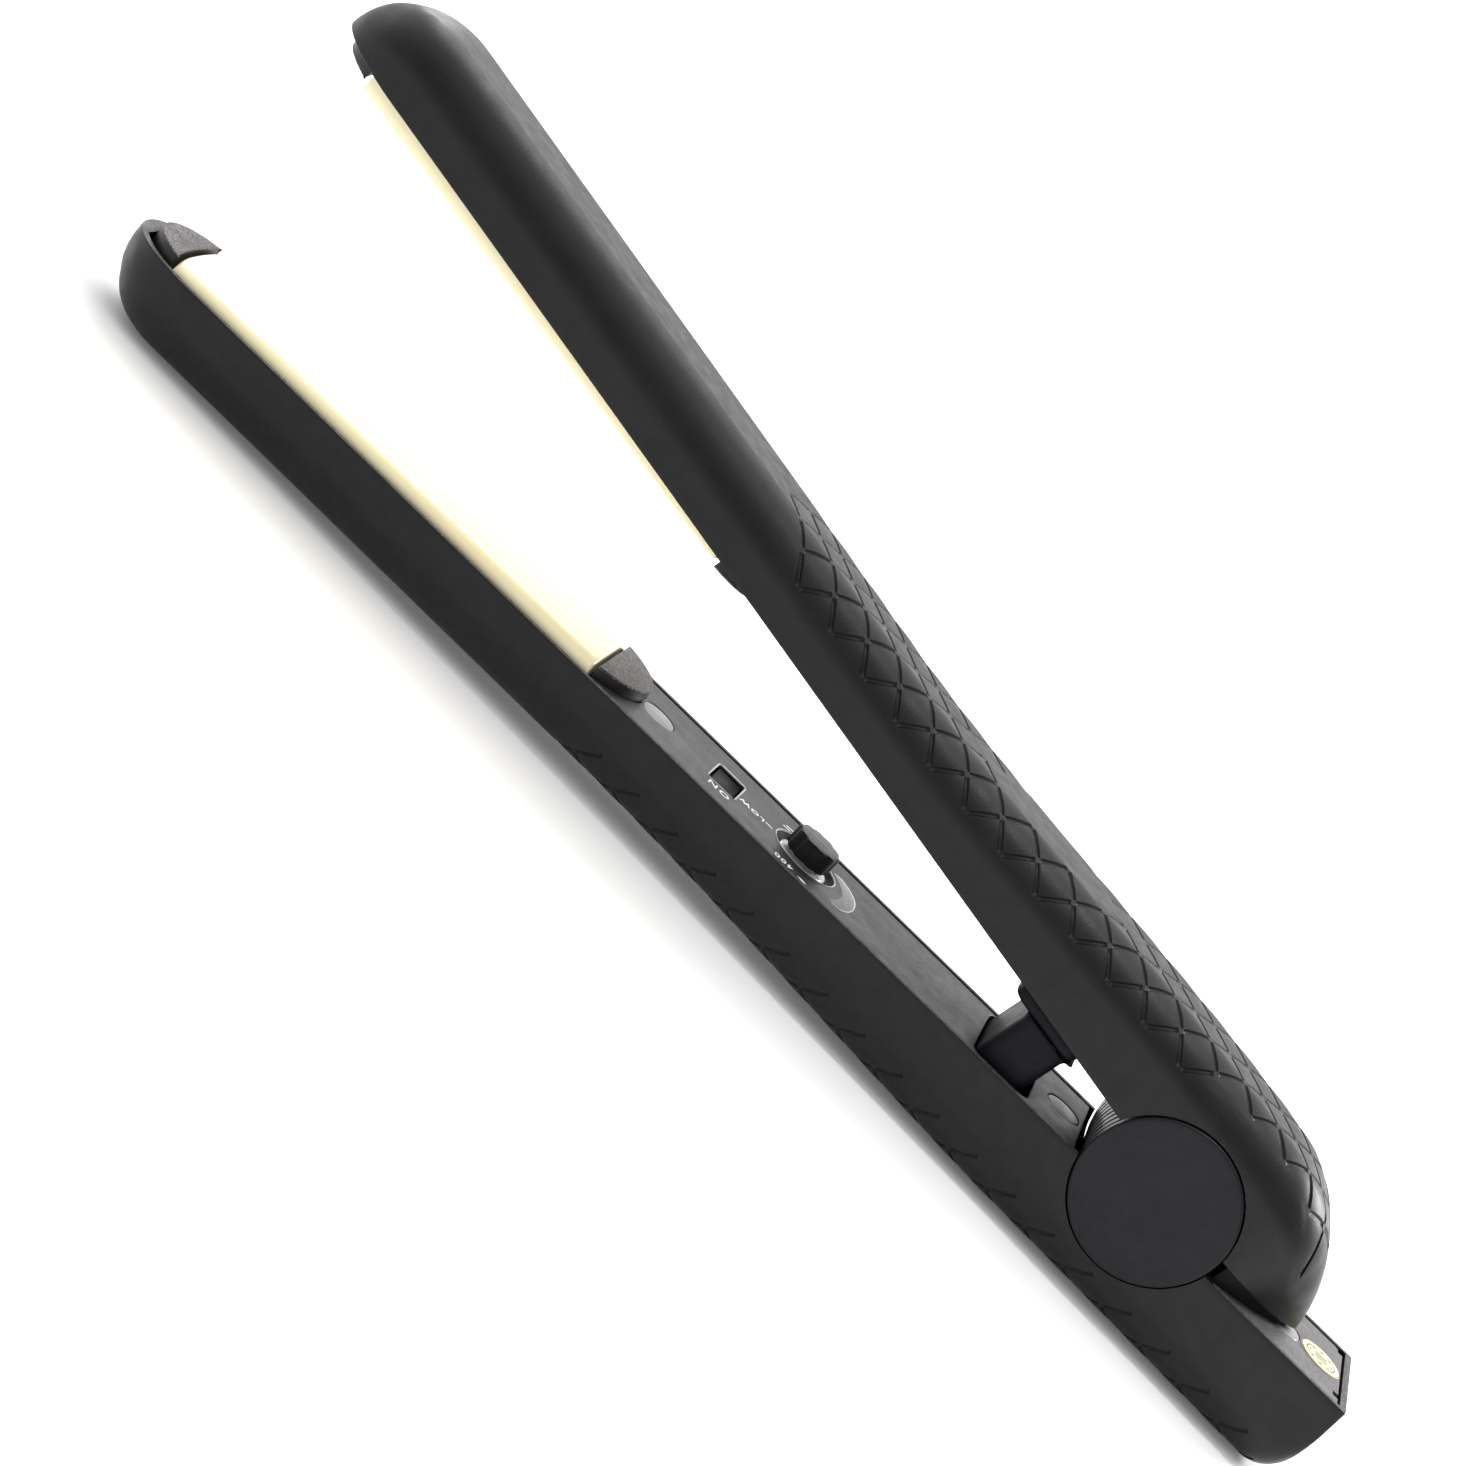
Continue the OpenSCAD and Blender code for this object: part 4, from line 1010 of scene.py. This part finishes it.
def post():
    """The spring post: body with rounded edges, a fillet and a bull-nosed flange."""
    mid = POST_L / 2 - POST_X
    x0, x1, w = -POST_X, POST_L - POST_X, POST_W / 2

    def outline(grow, r):
        return rect(x0 - grow, x1 + grow, -w - grow * 0.5, w + grow * 0.5, r + grow * 0.5, 8)
    rings = []
    for z, grow in ((-POST_DROP, -0.5), (-POST_DROP + 0.1, -0.2), (-POST_DROP + 0.5, 0), (-1.0, 0),
                    (-0.5, 0.05), (0.0, 0.22), (0.35, 0.5), (0.6, 0.95), (0.7, 1.5)):
        rings.append([(x, y, z) for x, y in outline(grow, 2.4)])
    verts, faces = skin(rings, caps=False)
    body = to_mesh("post_body", verts, faces, UP)
    foot = slab("post_foot", [outline(-0.4, 1.2), circle(mid, 0, 4.3)],
                -POST_DROP, -POST_DROP + 0.6, UP, 0.1)
    bore = lathe("post_bore", [(4.28, -POST_DROP), (4.5, -POST_DROP), (4.5, -1.8), (0, -1.8),
                               (0, -2.0), (4.28, -2.0)], UP @ Matrix.Translation((mid, 0, 0)), 64)
    flange = slab("post_flange", [rect(-43, -27, -12.5, 12.5, 3, 10)], 0.65, 3.5, UP, 1.1, 8)
    piece("post_block", join(body, foot, bore, flange), "upper_arm", "soft_touch_black",
          ["spring_post"], POST_BLACK, 45)


post()

# ---- floor, light --------------------------------------------------------------------


def floor():
    mesh = bpy.data.meshes.new("floor")
    s, z = 14.0, -0.0003
    mesh.from_pydata([(-s, -s, z), (s, -s, z), (s, s, z), (-s, s, z)], [], [(0, 1, 2, 3)])
    obj = bpy.data.objects.new("floor", mesh)
    bpy.context.scene.collection.objects.link(obj)
    mesh.materials.append(material("floor_white", (0.92, 0.92, 0.92), 0.9, mottle=0.01,
                                   rough_var=0.02, spec=0.0, emit=0.12))


def light(name, kind, at, look, power):
    """A lamp at one point, aimed at another; returns its data."""
    data = bpy.data.lights.new(name, kind)
    data.energy = power
    obj = bpy.data.objects.new(name, data)
    bpy.context.scene.collection.objects.link(obj)
    obj.location = at
    obj.rotation_euler = (Vector(look) - Vector(at)).to_track_quat("-Z", "Y").to_euler()
    return data


def area(name, at, look, size, power):
    data = light(name, "AREA", at, look, power)
    data.shape, data.size = "DISK", size


def spot(name, at, look, angle, power):
    data = light(name, "SPOT", at, look, power)
    data.shadow_soft_size = 0.10
    data.spot_size, data.spot_blend = math.radians(angle), 1.0


WORLD_TOP = (0.0, 0.72, 0.69)           # the direction that the sky is brightest in
WORLD_RAMP = (-0.30, 0.60, 0.42, 1.40)  # its strength, 0.42 to 1.40, over that direction


def studio_world():
    """Soft light, strongest from behind and above; what the camera sees of it is white."""
    world = bpy.data.worlds.new("studio")
    bpy.context.scene.world = world
    world.use_nodes = True
    nt = world.node_tree
    nd, ln = nt.nodes, nt.links
    sky = nd["Background"]
    place = nd.new("ShaderNodeTexCoord")
    dot = nd.new("ShaderNodeVectorMath")
    dot.operation = "DOT_PRODUCT"
    dot.inputs[1].default_value = WORLD_TOP
    ln.new(place.outputs["Generated"], dot.inputs[0])
    ramp = nd.new("ShaderNodeMapRange")
    ramp.interpolation_type = "SMOOTHSTEP"
    for key, value in zip(("From Min", "From Max", "To Min", "To Max"), WORLD_RAMP):
        ramp.inputs[key].default_value = value
    ln.new(dot.outputs["Value"], ramp.inputs["Value"])
    ln.new(ramp.outputs["Result"], sky.inputs["Strength"])
    sky.inputs["Color"].default_value = (1, 1, 1, 1)
    white = nd.new("ShaderNodeBackground")
    white.inputs["Color"].default_value = (1, 1, 1, 1)
    white.inputs["Strength"].default_value = 1.05
    path = nd.new("ShaderNodeLightPath")
    mix = nd.new("ShaderNodeMixShader")
    ln.new(path.outputs["Is Camera Ray"], mix.inputs["Fac"])
    ln.new(sky.outputs["Background"], mix.inputs[1])
    ln.new(white.outputs["Background"], mix.inputs[2])
    ln.new(mix.outputs["Shader"], nd["World Output"].inputs["Surface"])


floor()
studio_world()
area("key", (-0.35, 0.75, 1.1), (0, 0, 0.03), 0.9, 6)
area("heel", (0.75, 0.60, 0.52), (0.13, 0, 0.03), 0.4, 10.0)
spot("spine", (0.10, -0.08, 0.90), (0.095, 0, 0.07), 17.0, 12.0)
area("back", (-0.442, 0.90, 0.36), (-0.142, 0, 0.06), 0.2, 0.7)
bpy.context.scene.view_settings.view_transform = "Standard"
